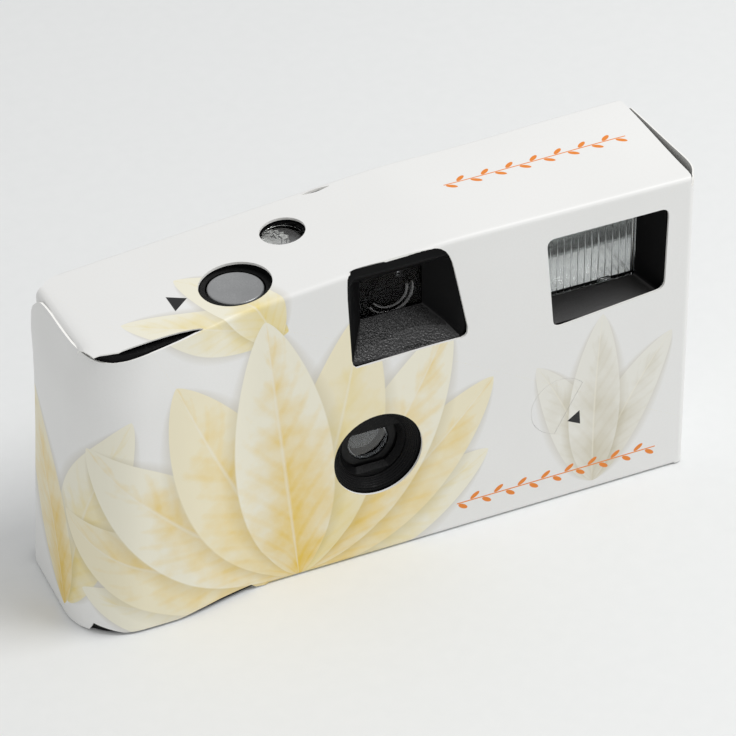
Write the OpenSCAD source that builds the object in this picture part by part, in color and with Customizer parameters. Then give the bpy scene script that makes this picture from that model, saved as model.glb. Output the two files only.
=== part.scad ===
// Single-use film camera with flash, in a folded card sleeve.
// Millimetres, +Z up, front faces -Y, origin under the middle of the bounding box.
// The film cassette sets the scale: the film's centre line is on the lens axis.

/* [Card sleeve] */
// width over both ends
sleeve_w = 130; // [128:0.5:136]
// height at the flash end
sleeve_h = 68; // [67:0.5:72]
// depth at the flash end
sleeve_d = 30.6; // [30.2:0.1:33]
// thickness of the card
card_t = 0.5; // [0.4:0.05:0.6]
// space between card and plastic
card_gap = 0.3; // [0.25:0.05:0.4]
// reach of the grip in front of the front face
grip_bulge = 3.1; // [2.4:0.1:4]
// radius of the grip's front corner
grip_r = 12; // [9:0.5:13]
// radius of the other corner at the grip end
back_r = 5; // [3:0.5:7]
// radius of the corners at the flash end
edge_r = 1.6; // [1.4:0.1:2.5]
// fall of the top towards the grip
top_fall = 6.4; // [4.5:0.1:7]
// how far the grip end leans in up to the shoulder
lean = 3.7; // [3.4:0.1:3.8]
// how far the grip end leans in at the top
top_lean = 6.6; // [4.5:0.1:7]

/* [Case] */
// wall of the front and rear covers
wall = 1.2; // [1:0.05:1.3]
// gap between pieces that are fixed together
fit = 0.12; // [0.08:0.02:0.2]
// gap around pieces that move
run = 0.35; // [0.3:0.05:0.45]
// radial play of a shaft in its bore
play = 0.05; // [0.02:0.01:0.09]

/* [Lens] */
// lens axis from the grip end
lens_in = 62.4; // [61:0.1:63.5]
// radius of the hole in the card round the lens
lens_hole_r = 9.25; // [8.8:0.05:9.8]
// radius of the taking lens
lens_r = 3.9; // [3.4:0.1:4.2]
// thickness of the taking lens
lens_t = 2; // [1.8:0.1:2.4]
// radius of the aperture stop
stop_r = 1.5; // [1:0.1:2]

/* [Viewfinder] */
// finder to the right of the lens axis
finder_side = 6.1; // [5.1:0.1:7.1]
// width of the finder lens opening
finder_w = 12.9; // [11:0.1:14]
// height of the finder lens opening
finder_h = 8.4; // [7:0.1:9.4]
// depth of the hood behind the front face
hood_depth = 6.6; // [5.5:0.1:7]
// width of the eyepiece opening
eye_w = 8; // [6:0.1:10]
// height of the eyepiece opening
eye_h = 6; // [5:0.1:7]

/* [Flash] */
// flash centre from the flash end
flash_in = 19; // [18:0.1:20]
// flash centre below the top
flash_drop = 15.8; // [15:0.1:16.5]
// width of the flash window in the card
flash_w = 25; // [23:0.1:26]
// height of the flash window in the card
flash_h = 19.4; // [18:0.1:20]
// width of the ribbed lens
panel_w = 19.4; // [17:0.1:20]
// height of the ribbed lens
panel_h = 15.4; // [13:0.1:16]
// depth of the ribbed lens behind the front face
panel_depth = 6.2; // [5:0.1:6.6]
// charging tab centre from the flash end
tab_in = 28.5; // [27.5:0.1:29.5]
// radius of the charging tab
tab_r = 6.4; // [6:0.1:6.8]
// travel of the charging button
charge_travel = 1; // [0.8:0.1:1.1]
// radius of the flash capacitor
cap_r = 6.2; // [5:0.1:6.4]

/* [Shutter button] */
// button centre from the grip end
button_end = 38.4; // [37.6:0.1:39.2]
// button axis behind the front face
button_in = 8.9; // [8.5:0.1:9.2]
// radius of the grey cap
button_r = 5.3; // [4.5:0.1:5.5]
// radius of the hole in the card round the button
button_hole_r = 6.9; // [6.7:0.1:7.4]
// travel of the button
button_travel = 1.6; // [1:0.1:1.8]

/* [Film] */
// radius of the cassette
cassette_r = 12.5; // [12.3:0.05:12.6]
// length of the cassette over its caps
cassette_h = 43; // [42.5:0.1:43.4]
// width of the film
film_w = 35; // [34.5:0.1:35.2]
// thickness of the film
film_t = 0.15; // [0.12:0.01:0.18]
// radius of the film wound on the supply spool
roll_r = 8.3; // [7:0.1:8.6]
// width of the picture gate
gate_w = 36; // [34:0.5:36.5]
// height of the picture gate
gate_h = 24; // [22:0.5:24.5]

/* [Thumbwheel] */
// reach of the wheel behind the card
wheel_proud = 1; // [0.6:0.1:1.4]
// thickness of the wheel
wheel_h = 5; // [4:0.1:5.2]
// number of ridges on the rim
wheel_ridges = 48; // [24:12:60]

/* [Counter] */
// counter centre from the grip end
counter_end = 52.4; // [51.8:0.1:53]
// middle of the counter window behind the front face
counter_in = 19.85; // [19.4:0.1:20.4]
// radius of the counter window in the card
counter_r = 4.4; // [4.2:0.1:4.8]
// radius of the counter dial
dial_r = 5.8; // [5.5:0.1:5.9]

/* [Hidden] */
$fn = 48;
e = 0.01;

// planes of the sleeve and the case
x_end = sleeve_w / 2;
lens_x = lens_in - x_end;
finder_x = lens_x + finder_side;
flash_x = x_end - flash_in;
tab_x = x_end - tab_in;
button_x = button_end - x_end;
counter_x = counter_end - x_end;
y_face = grip_bulge - (sleeve_d + grip_bulge + wheel_proud) / 2;
y_grip = y_face - grip_bulge;
y_back = y_face + sleeve_d;
skin = card_t + card_gap;
inner = skin + wall;
case_face = y_face + skin;
in_face = y_face + inner;
in_back = y_back - inner;
floor_z = inner;
y_part = in_back - 3.3;
ramp_in = 39 - x_end;
ramp_out = 17 - x_end;
crease_x = 77 - x_end;
function top_z(x) = sleeve_h - top_fall * (crease_x - x) / (crease_x + x_end - 7);
grip_top = top_z(top_lean - x_end);

// film path
cassette_y = in_back - run - cassette_r;
wheel_r = y_back + wheel_proud - cassette_y;
cassette_x = -x_end + lean + inner + run + 0.1 + wheel_r;
cassette_z = floor_z + 0.1;
lens_z = cassette_z + cassette_h / 2;
film_y = in_back - 1.1;
film_front = film_y - film_t / 2;
perf_pitch = 4.75;
perf_w = 2;
perf_h = 2.8;
perf_z = lens_z + film_w / 2 - 2 - perf_h / 2;
sprocket_r = 8 * perf_pitch / 360 * 180 / PI;
tooth_r = sprocket_r + 0.85;
sprocket_y = film_front - sprocket_r;
sprocket_x = cassette_x + sqrt(pow(cassette_r + tooth_r + run, 2) - pow(sprocket_y - cassette_y, 2)) + 0.1;
supply_x = x_end - 20;
supply_y = film_front - run - roll_r;
chamber_r = roll_r + 0.9;
chamber_top = lens_z + film_w / 2 + 2.2;
core_r = 4.5;
pivot_r = 2;
gate_y = film_front - 0.17;
wheel_z = cassette_z + cassette_h + 0.6;
knob_h = 3.6;
knob_r = 4.5;
deck_z = wheel_z + wheel_h + run + 0.15;
deck_t = 1.2;
shoulder_z = wheel_z + wheel_h + run;

// shutter layers, front to back
board_y = y_face + 7.45;
board_t = 1;
board_left = 11.8;
board_right = 11;
board_up = 16;
striker_y = board_y + board_t + 0.3;
blade_y = striker_y + 1.1;
wall_y = blade_y + 0.8;
tunnel_y = wall_y + 1.2;
blade_px = lens_x - 9;
blade_pz = lens_z + 9;
striker_px = lens_x - 18;
striker_pz = lens_z + 13;
release_px = button_x + 6.1;
release_pz = wheel_z + 0.3;
post_r = 1.2;

// button, counter and flash
button_y = y_face + button_in;
button_z = top_z(button_x) - 0.75;
stem_r = 1.6;
counter_y = y_face + counter_in;
dial_x = counter_x - 3.7;
dial_z = top_z(dial_x - dial_r) - inner - 2.3;
finger_l = norm([sprocket_x - dial_x, sprocket_y - counter_y]) - dial_r - 0.25;
finder_z = sleeve_h - 12.7;
eye_y = in_back - 1.3;
panel_y = y_face + panel_depth;
flash_z = max(sleeve_h - flash_drop, chamber_top + run + panel_h / 2);
window_h = min(flash_h, 2 * (sleeve_h - flash_z - 3.2));
tab_z = lens_z - 0.8;
tab_turn = -29.5;
tab_chord = 0.334 * tab_r;
tab_slit = 0.3;
pcb_y = y_face + 5.4;
pcb_t = 1.2;
pcb_back = pcb_y + pcb_t;
battery_r = 7.1;
battery_l = 49;
battery_x = supply_x - chamber_r - 3.8 - battery_l / 2;
battery_y = in_face + 1.2 + battery_r;
battery_z = floor_z + 0.4 + battery_r;
pcb_z = battery_z + battery_r + 0.6;
pcb_top = flash_z - panel_h / 2 - 3.5;
tube_y = panel_y + 5.3;
reflector_d = 7;
cap_y = in_back - 0.9 - cap_r;
cap_z = max(flash_z - 1.9, chamber_top + run + cap_r);
lamp_x = lens_x + 19.1;
lamp_z = pcb_top + 5;
cap_x0 = lamp_x + 4.5;
cap_x1 = x_end - 10;
lead_x = lamp_x + 3.4;
lead_pitch = 2.5;
lead_r = 0.4;
winding_x = lens_x + 14.2;
winding_w = 10;
winding_t = 7.6;
trigger_x = x_end - 6;
trigger_r = 3;
trigger_z = pcb_z + 6.6;
trigger_h = min(9.5, pcb_top - pcb_z - 10.5);
transistor_x = x_end - 7;
transistor_r = 2.4;
pipe_r = 1.6;
lamp_r = 1.4;
tongue_w = 4;

// shared helpers

// corners of a polygon moved inward by t; the corners run anticlockwise
function unit(v) = v / norm(v);
function inset(p, t) = [for (i = [0 : len(p) - 1])
    let (b = p[i],
         u = unit(b - p[(i + len(p) - 1) % len(p)]),
         v = unit(p[(i + 1) % len(p)] - b),
         n = [-u.y, u.x],
         m = [-v.y, v.x])
    b + (n + m) * t / (1 + n * m)];

// points of an arc from angle a to angle b in n steps
function arc(c, r, a, b, n) = [for (i = [0 : n])
    let (t = a + (b - a) * i / n)
    c + r * [cos(t), sin(t)]];

// points given from a centre, and an oblong given by its centre and size
function around(c, pts) = [for (q = pts) c + q];
function oblong(c, w, h) = around(c, [[-w, -h], [w, -h], [w, h], [-w, h]] / 2);

// a polygon with each corner replaced by an arc of radius r
function rounded(p, r) = [for (i = [0 : len(p) - 1])
    let (b = p[i],
         u = unit(p[(i + len(p) - 1) % len(p)] - b),
         v = unit(p[(i + 1) % len(p)] - b),
         half = acos(u * v) / 2,
         c = b + unit(u + v) * r / sin(half),
         n = unit(u + v),
         turn = 90 - half,
         base = atan2(-n.y, -n.x))
    each arc(c, r, base - turn, base + turn, 6)];

// a solid from an outline in X and Z, between two depths
module xz(y0, y1) translate([0, y1, 0]) rotate([90, 0, 0]) linear_extrude(y1 - y0) children();

// a solid from an outline in Y and Z, between two places across the front
module yz(x0, x1) translate([x0, 0, 0]) rotate([90, 0, 90]) linear_extrude(x1 - x0) children();

// a solid from an outline in X and Y, between two heights
module xy(z0, z1) translate([0, 0, z0]) linear_extrude(z1 - z0) children();

module box(a, b) translate(a) cube(b - a);

module rod_y(x, z, r, y0, y1) translate([x, y1, z]) rotate([90, 0, 0]) cylinder(r = r, h = y1 - y0);

module rod_x(y, z, r, x0, x1) translate([x0, y, z]) rotate([0, 90, 0]) cylinder(r = r, h = x1 - x0);

module post(x, y, r, z0, z1) translate([x, y, z0]) cylinder(r = r, h = z1 - z0);

// a four-sided funnel: w by h around (x, z) at y0, narrowing to another size at y1
module funnel(x0, z0, w0, h0, y0, x1, z1, w1, h1, y1) intersection() {
    xy(-5, sleeve_h + 5)
        polygon([[x0 - w0 / 2, y0], [x0 + w0 / 2, y0], [x1 + w1 / 2, y1], [x1 - w1 / 2, y1]]);
    yz(-x_end - 5, x_end + 5)
        polygon([[y0, z0 - h0 / 2], [y1, z1 - h1 / 2], [y1, z1 + h1 / 2], [y0, z0 + h0 / 2]]);
}

// the sleeve's outline seen from above
plan = concat(
    [[-x_end, y_grip]],
    [for (i = [0 : 10]) let (u = i / 10)
        [ramp_out + (ramp_in - ramp_out) * u, y_grip + grip_bulge * u * u * (3 - 2 * u)]],
    arc([x_end - edge_r, y_face + edge_r], edge_r, 270, 360, 4),
    arc([x_end - edge_r, y_back - edge_r], edge_r, 0, 90, 4),
    arc([-x_end + back_r, y_back - back_r], back_r, 90, 180, 8));

// the sleeve's outline seen from the front
elevation = [[-x_end, 0], [x_end, 0], [x_end, sleeve_h], [crease_x, sleeve_h], [-x_end, top_z(-x_end)]];

// a rounded corner: a fan of flat cuts round an upright axis, leaning in by the vector l over the height h
module corner_cuts(z, h, at, r, fan, l, t) for (a = fan)
    translate([at.x, at.y, z]) rotate(180 + a) translate([r, 0, 0])
        rotate([0, -atan((l.x * cos(a) + l.y * sin(a)) / h), 0])
            translate([-t, -60, -90]) cube([40, 120, 180]);

// the sleeve's form, moved inward by t
corner = [-x_end + grip_r, y_grip + grip_r];
back_corner = [-x_end + back_r, y_back - back_r];
grip_fan = [0 : 15 : 90];
back_fan = [-72 : 18 : -18];
low_lean = [lean, 0.5];
high_lean = [top_lean - lean, 1.1];
low_in = [lean, 0];
high_in = [top_lean - lean, 0];
module form(t) difference() {
    intersection() {
        xy(-1, sleeve_h + 1) polygon(inset(plan, t));
        xz(y_grip - 1, y_back + 1) polygon(inset(elevation, t));
    }
    corner_cuts(0, shoulder_z, corner, grip_r, grip_fan, low_lean, t);
    corner_cuts(shoulder_z, grip_top - shoulder_z, corner + low_lean, grip_r, grip_fan, high_lean, t);
    corner_cuts(0, shoulder_z, back_corner, back_r, back_fan, low_in, t);
    corner_cuts(shoulder_z, grip_top - shoulder_z, back_corner + low_in, back_r, back_fan, high_in, t);
}

// outline of the charging tab, less a margin
module tab_outline(less) intersection() {
    translate([tab_x, tab_z]) circle(tab_r - less);
    translate([tab_x, tab_z]) rotate(tab_turn) translate([-20, -20]) square([20 + tab_chord - less, 40]);
}

// Card sleeve: one folded wrap, closed round the case, with die-cut windows
finder_cut = around([finder_x, 0], [[-10.7, finder_z - 10.2], [12.9, finder_z - 9.8],
                                    [9.8, sleeve_h + 4], [-11.5, sleeve_h + 4]]);
flash_cut = oblong([flash_x, flash_z], flash_w, window_h) + [[1.3, -0.9], [0, 1.6], [0.3, 0], [-0.4, 0]];
module card_sleeve() color([0.93, 0.92, 0.88]) difference() {
    form(0);
    form(card_t);
    xz(y_grip - 1, y_face + 1.3) polygon(rounded(finder_cut, 2.4));
    xz(y_grip - 1, in_face) polygon(rounded(flash_cut, 1.6));
    rod_y(lens_x, lens_z, lens_hole_r, y_grip - 1, in_face);
    xz(y_grip - 1, in_face) tab_outline(0);
    post(button_x, button_y, button_hole_r, button_z - 3, sleeve_h + 1);
    post(counter_x, counter_y, counter_r, dial_z + 2, sleeve_h + 1);
    // slit where the top panel lifts off the front panel over the grip
    xz(y_grip - 1, y_grip + grip_r)
        polygon([[-x_end + 9, grip_top - 1.4], [-x_end + 15, grip_top - 0.9],
                 [ramp_in - 12, top_z(ramp_in - 12) - 1.1], [-x_end + 15, grip_top + 0.6 - card_t],
                 [-x_end + 10, grip_top - card_t - 0.1]]);
    // back: thumbwheel, eyepiece and ready lamp
    xz(in_back, y_back + 1)
        polygon(rounded(oblong([cassette_x, wheel_z + wheel_h / 2], 24, wheel_h + 3.2), 3));
    xz(in_back, y_back + 1) polygon(rounded(oblong([finder_x, finder_z], eye_w + 4, eye_h + 4), 1.5));
    rod_y(lamp_x, lamp_z, 2.4, in_back, y_back + 1);
}

// Charging tab: tongue of the same card, bending about its uncut chord
module flash_tab() color([0.93, 0.92, 0.88])
    xz(y_face, y_face + card_t) tab_outline(tab_slit);

// Front cover: deep moulded box with finder hood, lens well, flash well and button seat
hood_end = y_face + hood_depth;
hood_w = 25;
hood_h = 20.8;
hood_x = finder_x + 0.7;
hood_z = finder_z + 0.15;
well_floor = case_face + 2.2;
module front_cover() color([0.07, 0.07, 0.075]) difference() {
    union() {
        difference() {
            form(skin);
            form(inner);
        }
        intersection() {
            form(inner - e);
            union() {
                funnel(hood_x, hood_z, hood_w + 2 * wall, hood_h + 2 * wall, case_face,
                       finder_x, finder_z, finder_w + 2 * wall, finder_h + 2 * wall, hood_end);
                // frame that the finder lens drops into from behind
                box([finder_x - finder_w / 2 - 1.8, hood_end - e, finder_z - finder_h / 2 - 1.8],
                    [finder_x + finder_w / 2 + 1.8, hood_end + 1.3, finder_z + finder_h / 2 + 1.8]);
                funnel(flash_x, flash_z, flash_w + 3.4, window_h + 3.4, case_face,
                       flash_x, flash_z, panel_w + 2, panel_h + 2, panel_y);
                box([flash_x - panel_w / 2 - 1.4, panel_y - e, flash_z - panel_h / 2 - 1.4],
                    [flash_x + panel_w / 2 + 1.4, panel_y + 1.2, flash_z + panel_h / 2 + 1.4]);
                rod_y(lens_x, lens_z, lens_hole_r + 0.4, case_face, well_floor + wall);
                post(counter_x, counter_y, counter_r + 0.6, dial_z + 1.9, sleeve_h);
            }
        }
        // flat seat ring round the button
        post(button_x, button_y, button_hole_r - 0.3, button_z - 1.6, button_z - 0.15);
    }
    box([-x_end, y_part, -1], [x_end, y_back, sleeve_h + 1]);
    // finder hood, open at the front, and the lens pocket behind it
    funnel(hood_x, hood_z, hood_w, hood_h, case_face - e,
           finder_x, finder_z, finder_w, finder_h, hood_end + e);
    box([finder_x - finder_w / 2 - 0.8, hood_end, finder_z - finder_h / 2 - 0.8],
        [finder_x + finder_w / 2 + 0.8, hood_end + 2, finder_z + finder_h / 2 + 0.8]);
    // flash well
    funnel(flash_x, flash_z, flash_w + 1, window_h + 1, case_face - e,
           flash_x, flash_z, panel_w - 0.4, panel_h - 0.4, panel_y + e);
    box([flash_x - panel_w / 2 - fit, panel_y, flash_z - panel_h / 2 - fit],
        [flash_x + panel_w / 2 + fit, panel_y + 2, flash_z + panel_h / 2 + fit]);
    // lens well: stepped round wall and a tapered round opening between an upper and a lower flat
    rod_y(lens_x, lens_z, lens_hole_r - 0.7, case_face - e, case_face + 1.1);
    rod_y(lens_x, lens_z, lens_hole_r - 1.5, case_face, well_floor);
    intersection() {
        translate([lens_x, well_floor - e, lens_z]) rotate([-90, 0, 0])
            cylinder(h = wall + 2 * e, r1 = lens_hole_r - 2.45, r2 = lens_hole_r - 3.4);
        funnel(lens_x, lens_z - 1.1, 20, 9.6, well_floor - 0.1,
               lens_x, lens_z - 0.7, 20, 8.4, well_floor + wall + 0.1);
    }
    // bores in the front and the roof
    rod_y(tab_x, tab_z, tab_r + 0.1, case_face - 1, in_face + 1);
    post(button_x, button_y, button_r + run, button_z - 6, sleeve_h);
    difference() {
        post(button_x, button_y, button_hole_r + 0.2, button_z - 0.15, sleeve_h);
        post(button_x, button_y, button_r, 0, sleeve_h + 1);
    }
    post(counter_x, counter_y, counter_r - 0.3, dial_z, sleeve_h);
    post(counter_x, counter_y, counter_r + fit, dial_z, dial_z + 2.8);
    // opening for the film door
    box([cassette_x - 11, cassette_y - 11, skin - 1], [cassette_x + 11, y_part - 3, inner + 1]);
}

// Rear cover: shallow lid with pressure pad, eyepiece frame and snap tongues
module rear_cover() color([0.07, 0.07, 0.075]) difference() {
    union() {
        difference() {
            form(skin);
            form(inner);
            box([-x_end, y_grip - 1, -1], [x_end, y_part + fit, sleeve_h + 1]);
        }
        box([lens_x - gate_w / 2 - 2.4, film_y + film_t / 2 + 0.05, lens_z - film_w / 2],
            [lens_x + gate_w / 2 + 18, in_back + e, lens_z + film_w / 2]);
        box([finder_x - eye_w / 2 - 2, eye_y - 0.6, finder_z - eye_h / 2 - 2],
            [finder_x + eye_w / 2 + 2, in_back + e, finder_z + eye_h / 2 + 2]);
        for (x = [lens_x - 21.4, lens_x + 22.6, x_end - 9]) {
            box([x, y_part - 3, inner + fit], [x + 5, y_part + 1, inner + fit + 1]);
            box([x, y_part + fit, inner - e], [x + 5, y_part + 1, inner + fit + 1]);
        }
    }
    // room for the wheel
    post(cassette_x, cassette_y, wheel_r + run, wheel_z - run, wheel_z + wheel_h + run);
    // slot in the film's guide for the sprocket's teeth
    box([sprocket_x - 1, film_y - 1, perf_z - 1.4],
        [sprocket_x + 3.4, sprocket_y + tooth_r + 0.25, perf_z + 1.4]);
    // eyepiece opening and its pocket
    funnel(finder_x, finder_z, eye_w - 1, eye_h - 1, eye_y - 1,
           finder_x, finder_z, eye_w + 1, eye_h + 1, y_back);
    box([finder_x - eye_w / 2 - 1, eye_y - 2, finder_z - eye_h / 2 - 1],
        [finder_x + eye_w / 2 + 1, eye_y + 1.2, finder_z + eye_h / 2 + 1]);
    rod_y(lamp_x, lamp_z, pipe_r + fit, in_back - 3, y_back);
}

// Film door: lid that closes the bottom under the cassette
module film_door() color([0.09, 0.09, 0.095]) {
    box([cassette_x - 11 + fit, cassette_y - 11 + fit, skin],
        [cassette_x + 11 - fit, y_part - 3 - fit, inner]);
}

// Chassis: film gate, light tunnel, chambers, shutter wall with pivot posts and upper deck
module chassis() color([0.12, 0.12, 0.125]) difference() {
    union() {
        box([sprocket_x - 4, gate_y - 1.4, floor_z + 1.4], [supply_x - 5.6, gate_y, lens_z + film_w / 2 + 2]);
        funnel(lens_x, lens_z, 10.4, 8.8, wall_y, lens_x, lens_z, gate_w + 2.4, gate_h + 2.4, gate_y - 0.2);
        box([cassette_x + cassette_r - 0.6, wall_y, pcb_z], [lens_x + 13, tunnel_y, wheel_z - run]);
        box([cassette_x + wheel_r + run, wall_y, pcb_z], [lens_x + 13, tunnel_y, deck_z + deck_t]);
        // upper deck
        box([cassette_x - 10, in_face + 1.2, deck_z], [dial_x + 4, y_part - run, deck_z + deck_t]);
        post(dial_x, counter_y, 2.4, deck_z, dial_z - run);
        post(dial_x, counter_y, post_r, deck_z, dial_z + 1.9);
        // cassette chamber
        difference() {
            post(cassette_x, cassette_y, cassette_r + 1.5, floor_z + fit, cassette_z + cassette_h);
            box([cassette_x - 30, cassette_y - 2, 0], [cassette_x + 30, y_back, sleeve_h]);
        }
        // supply chamber
        difference() {
            post(supply_x, supply_y, chamber_r + 1, floor_z + fit, chamber_top);
            post(supply_x, supply_y, chamber_r, lens_z - film_w / 2 - 0.6, lens_z + film_w / 2 + 0.9);
            box([supply_x - 30, gate_y - 0.4, 0], [supply_x + 30, y_back, sleeve_h]);
        }
        // lower bearing of the sprocket
        box([sprocket_x - 3, wall_y, perf_z - 4], [sprocket_x + 5.4, sprocket_y + 2.4, perf_z - 2.6]);
        // pivot posts
        rod_y(blade_px, blade_pz, post_r - 0.2, board_y + board_t + 0.1, tunnel_y);
        rod_y(striker_px, striker_pz, post_r, striker_y - 0.2, tunnel_y);
        rod_y(release_px, release_pz, post_r, board_y - 1.2, tunnel_y);
        // rib that carries the circuit board, and the battery cradle
        box([lens_x + 12, pcb_back, pcb_z + 18], [lens_x + 13, tunnel_y, pcb_z + 22]);
    }
    post(cassette_x, cassette_y, cassette_r + 0.5, floor_z - 1, cassette_z + cassette_h + e);
    funnel(lens_x, lens_z, 6.4, 5, tunnel_y - 0.2, lens_x, lens_z, gate_w, gate_h, gate_y + 0.1);
    rod_y(lens_x, lens_z, stop_r + 0.7, wall_y - 1, tunnel_y + 1);
    post(supply_x, supply_y, chamber_r, lens_z - film_w / 2 - 0.6, lens_z + film_w / 2 + 0.9);
    post(supply_x, supply_y, pivot_r + play, floor_z, sleeve_h);
    post(sprocket_x, sprocket_y, tooth_r + 0.5, perf_z - 1.6, lens_z + film_w / 2 + 3);
    post(sprocket_x, sprocket_y, 1.5 + play, 0, sleeve_h);
    post(cassette_x, cassette_y, 3 + play, deck_z - 1, deck_z + deck_t + 1);
    post(button_x, button_y, stem_r + play, deck_z - 1, deck_z + deck_t + 1);
}

// Lens board: plate with the lens seat and the aperture stop
module lens_board() color([0.1, 0.1, 0.105]) difference() {
    union() {
        box([lens_x - board_left, board_y, pcb_z],
            [lens_x + board_right, board_y + board_t, lens_z + board_up]);
        rod_y(lens_x, lens_z, lens_r + 1.3, board_y - lens_t - 0.1, board_y + e);
        // ledges that rest on the shutter wall
        for (z = [pcb_z, lens_z + board_up - 3])
            box([lens_x + board_right - 2.4, board_y, z], [lens_x + board_right, wall_y, z + 3]);
    }
    rod_y(lens_x, lens_z, stop_r, board_y - 1, board_y + board_t + 1);
    rod_y(lens_x, lens_z, lens_r + play, board_y - 5, board_y);
    rod_y(blade_px, blade_pz, post_r + 0.3, board_y - 1, board_y + board_t + 1);
}

// Taking lens: meniscus
module taking_lens() color([0.75, 0.8, 0.85]) difference() {
    intersection() {
        rod_y(lens_x, lens_z, lens_r, board_y - lens_t, board_y);
        translate([lens_x, board_y - lens_t + 9, lens_z]) sphere(9);
    }
    translate([lens_x, board_y + 11.4, lens_z]) sphere(12);
}

// Lens ring: cap that clips over the lens seat
module lens_ring() color([0.08, 0.08, 0.085]) difference() {
    rod_y(lens_x, lens_z, lens_r + 2.2, board_y - lens_t - 0.7, board_y - 0.3);
    rod_y(lens_x, lens_z, lens_r + 1.3 + play, board_y - lens_t - 0.1, board_y);
    rod_y(lens_x, lens_z, lens_r - 0.5, board_y - 9, board_y);
}

// Shutter blade: thin plate that covers the stop and swings on its post
module shutter_blade() color([0.25, 0.25, 0.26]) difference() {
    xz(blade_y, blade_y + 0.4) {
        translate([lens_x, lens_z]) circle(3);
        translate([blade_px, blade_pz]) circle(2.2);
        polygon([[blade_px - 1.5, blade_pz - 1.4], [lens_x - 2.3, lens_z - 1.6],
                 [lens_x + 1.6, lens_z + 2.3], [blade_px + 1.4, blade_pz + 1.5]]);
        translate([blade_px, blade_pz]) rotate(118) translate([0, -1]) square([6, 2]);
    }
    rod_y(blade_px, blade_pz, post_r - 0.2 + play, blade_y - 1, blade_y + 1);
}

// Blade spring: wound wire collar on the blade's post with its two legs
module blade_spring() color([0.7, 0.7, 0.72]) {
    difference() {
        rod_y(blade_px, blade_pz, post_r + 0.25, striker_y, striker_y + 0.9);
        rod_y(blade_px, blade_pz, post_r - 0.2 + play, striker_y - 1, striker_y + 1);
    }
    box([blade_px + 1.2, striker_y + 0.2, blade_pz - 0.15], [blade_px + 5, striker_y + 0.5, blade_pz + 0.15]);
    box([blade_px - 0.15, striker_y + 0.5, blade_pz + 1.2],
        [blade_px + 0.15, striker_y + 0.8, blade_pz + 4.4]);
}

// Striker lever: sprung arm that kicks the blade's tail
module striker_lever() color([0.16, 0.16, 0.17]) difference() {
    xz(striker_y, striker_y + 0.8) {
        translate([striker_px, striker_pz]) circle(2.4);
        polygon(around([striker_px, striker_pz], [[-1.6, 1], [1, -1.6], [5.2, 1.6], [4.6, 3.2]]));
    }
    rod_y(striker_px, striker_pz, post_r + play, striker_y - 1, striker_y + 1);
}

// Striker spring: wound wire collar behind the striker
module striker_spring() color([0.7, 0.7, 0.72]) {
    difference() {
        rod_y(striker_px, striker_pz, post_r + 0.5, striker_y + 1.0, wall_y);
        rod_y(striker_px, striker_pz, post_r + play, striker_y, wall_y + 1);
    }
    box([striker_px - 5, wall_y - 0.5, striker_pz - 0.2], [striker_px - 1.4, wall_y, striker_pz + 0.2]);
}

// Release lever: bell crank under the button's stem
stem_z = release_pz + 1.5 + run;
module release_lever() color([0.16, 0.16, 0.17]) difference() {
    union() {
        xz(board_y - 0.8, board_y + 0.4) {
            translate([release_px, release_pz]) circle(2.3);
            polygon(around([release_px, release_pz], [[-7.4, 0], [0, -2], [0, 2], [-4, 1.5], [-7.4, 1.5]]));
            polygon(around([release_px, release_pz], [[-1.8, 0], [-0.6, -6.8], [1.2, -6.8], [1.8, 0]]));
        }
        box([release_px - 7.4, board_y - 0.8, release_pz + 0.1],
            [release_px - 4.6, wall_y - run, release_pz + 1.5]);
    }
    rod_y(release_px, release_pz, post_r + play, board_y - 2, board_y + 2);
}

// Shutter button: plunger guided by the deck, with a flange under the roof
module shutter_button() color([0.06, 0.06, 0.065]) {
    post(button_x, button_y, stem_r, stem_z, button_z - 1.8);
    post(button_x, button_y, button_r + 0.9, button_z - 4.1, button_z - 2.9);
    post(button_x, button_y, button_r - 0.2, button_z - 3, button_z - 1);
}

// Button cap: dished grey disc on the plunger
module button_cap() color([0.62, 0.62, 0.63]) difference() {
    post(button_x, button_y, button_r, button_z - 1, button_z);
    translate([button_x, button_y, button_z + 29.8]) sphere(30, $fn = 240);
}

// Thumbwheel: ridged wheel keyed on the cassette spool
module thumbwheel() color([0.09, 0.09, 0.095]) difference() {
    union() {
        translate([cassette_x, cassette_y, 0]) xy(wheel_z, wheel_z + wheel_h)
            polygon([for (i = [0 : 2 * wheel_ridges - 1])
                let (t = 90 + i * 180 / wheel_ridges)
                (wheel_r - (i % 2) * 0.7) * [cos(t), sin(t)]]);
        post(cassette_x, cassette_y, 3, wheel_z + wheel_h - e, deck_z + deck_t + 0.4);
    }
    // recess between rim and hub
    difference() {
        post(cassette_x, cassette_y, wheel_r - 3, wheel_z + 2, wheel_z + wheel_h + e);
        post(cassette_x, cassette_y, knob_r + 1.6, 0, sleeve_h);
    }
    // socket for the spool's knob, with a driving web left across it
    difference() {
        post(cassette_x, cassette_y, knob_r + fit, wheel_z - e, wheel_z + knob_h - 0.4);
        box([cassette_x - 10, cassette_y - 0.6, wheel_z + 1.4],
            [cassette_x + 10, cassette_y + 0.6, wheel_z + wheel_h]);
    }
}

// Cassette shell: thin tube with the film lip
module cassette_shell() color([0.2, 0.2, 0.22]) difference() {
    union() {
        post(cassette_x, cassette_y, cassette_r - 0.2, cassette_z + 0.7, cassette_z + cassette_h - 0.7);
        box([cassette_x, film_y - 1, cassette_z + 2.4],
            [cassette_x + cassette_r, film_y + 0.8, cassette_z + cassette_h - 2.4]);
    }
    post(cassette_x, cassette_y, cassette_r - 0.5, 0, sleeve_h);
    box([cassette_x + 3, film_y - 0.25, lens_z - film_w / 2 - 0.3],
        [cassette_x + 20, film_y + 0.25, lens_z + film_w / 2 + 0.3]);
}

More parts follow.
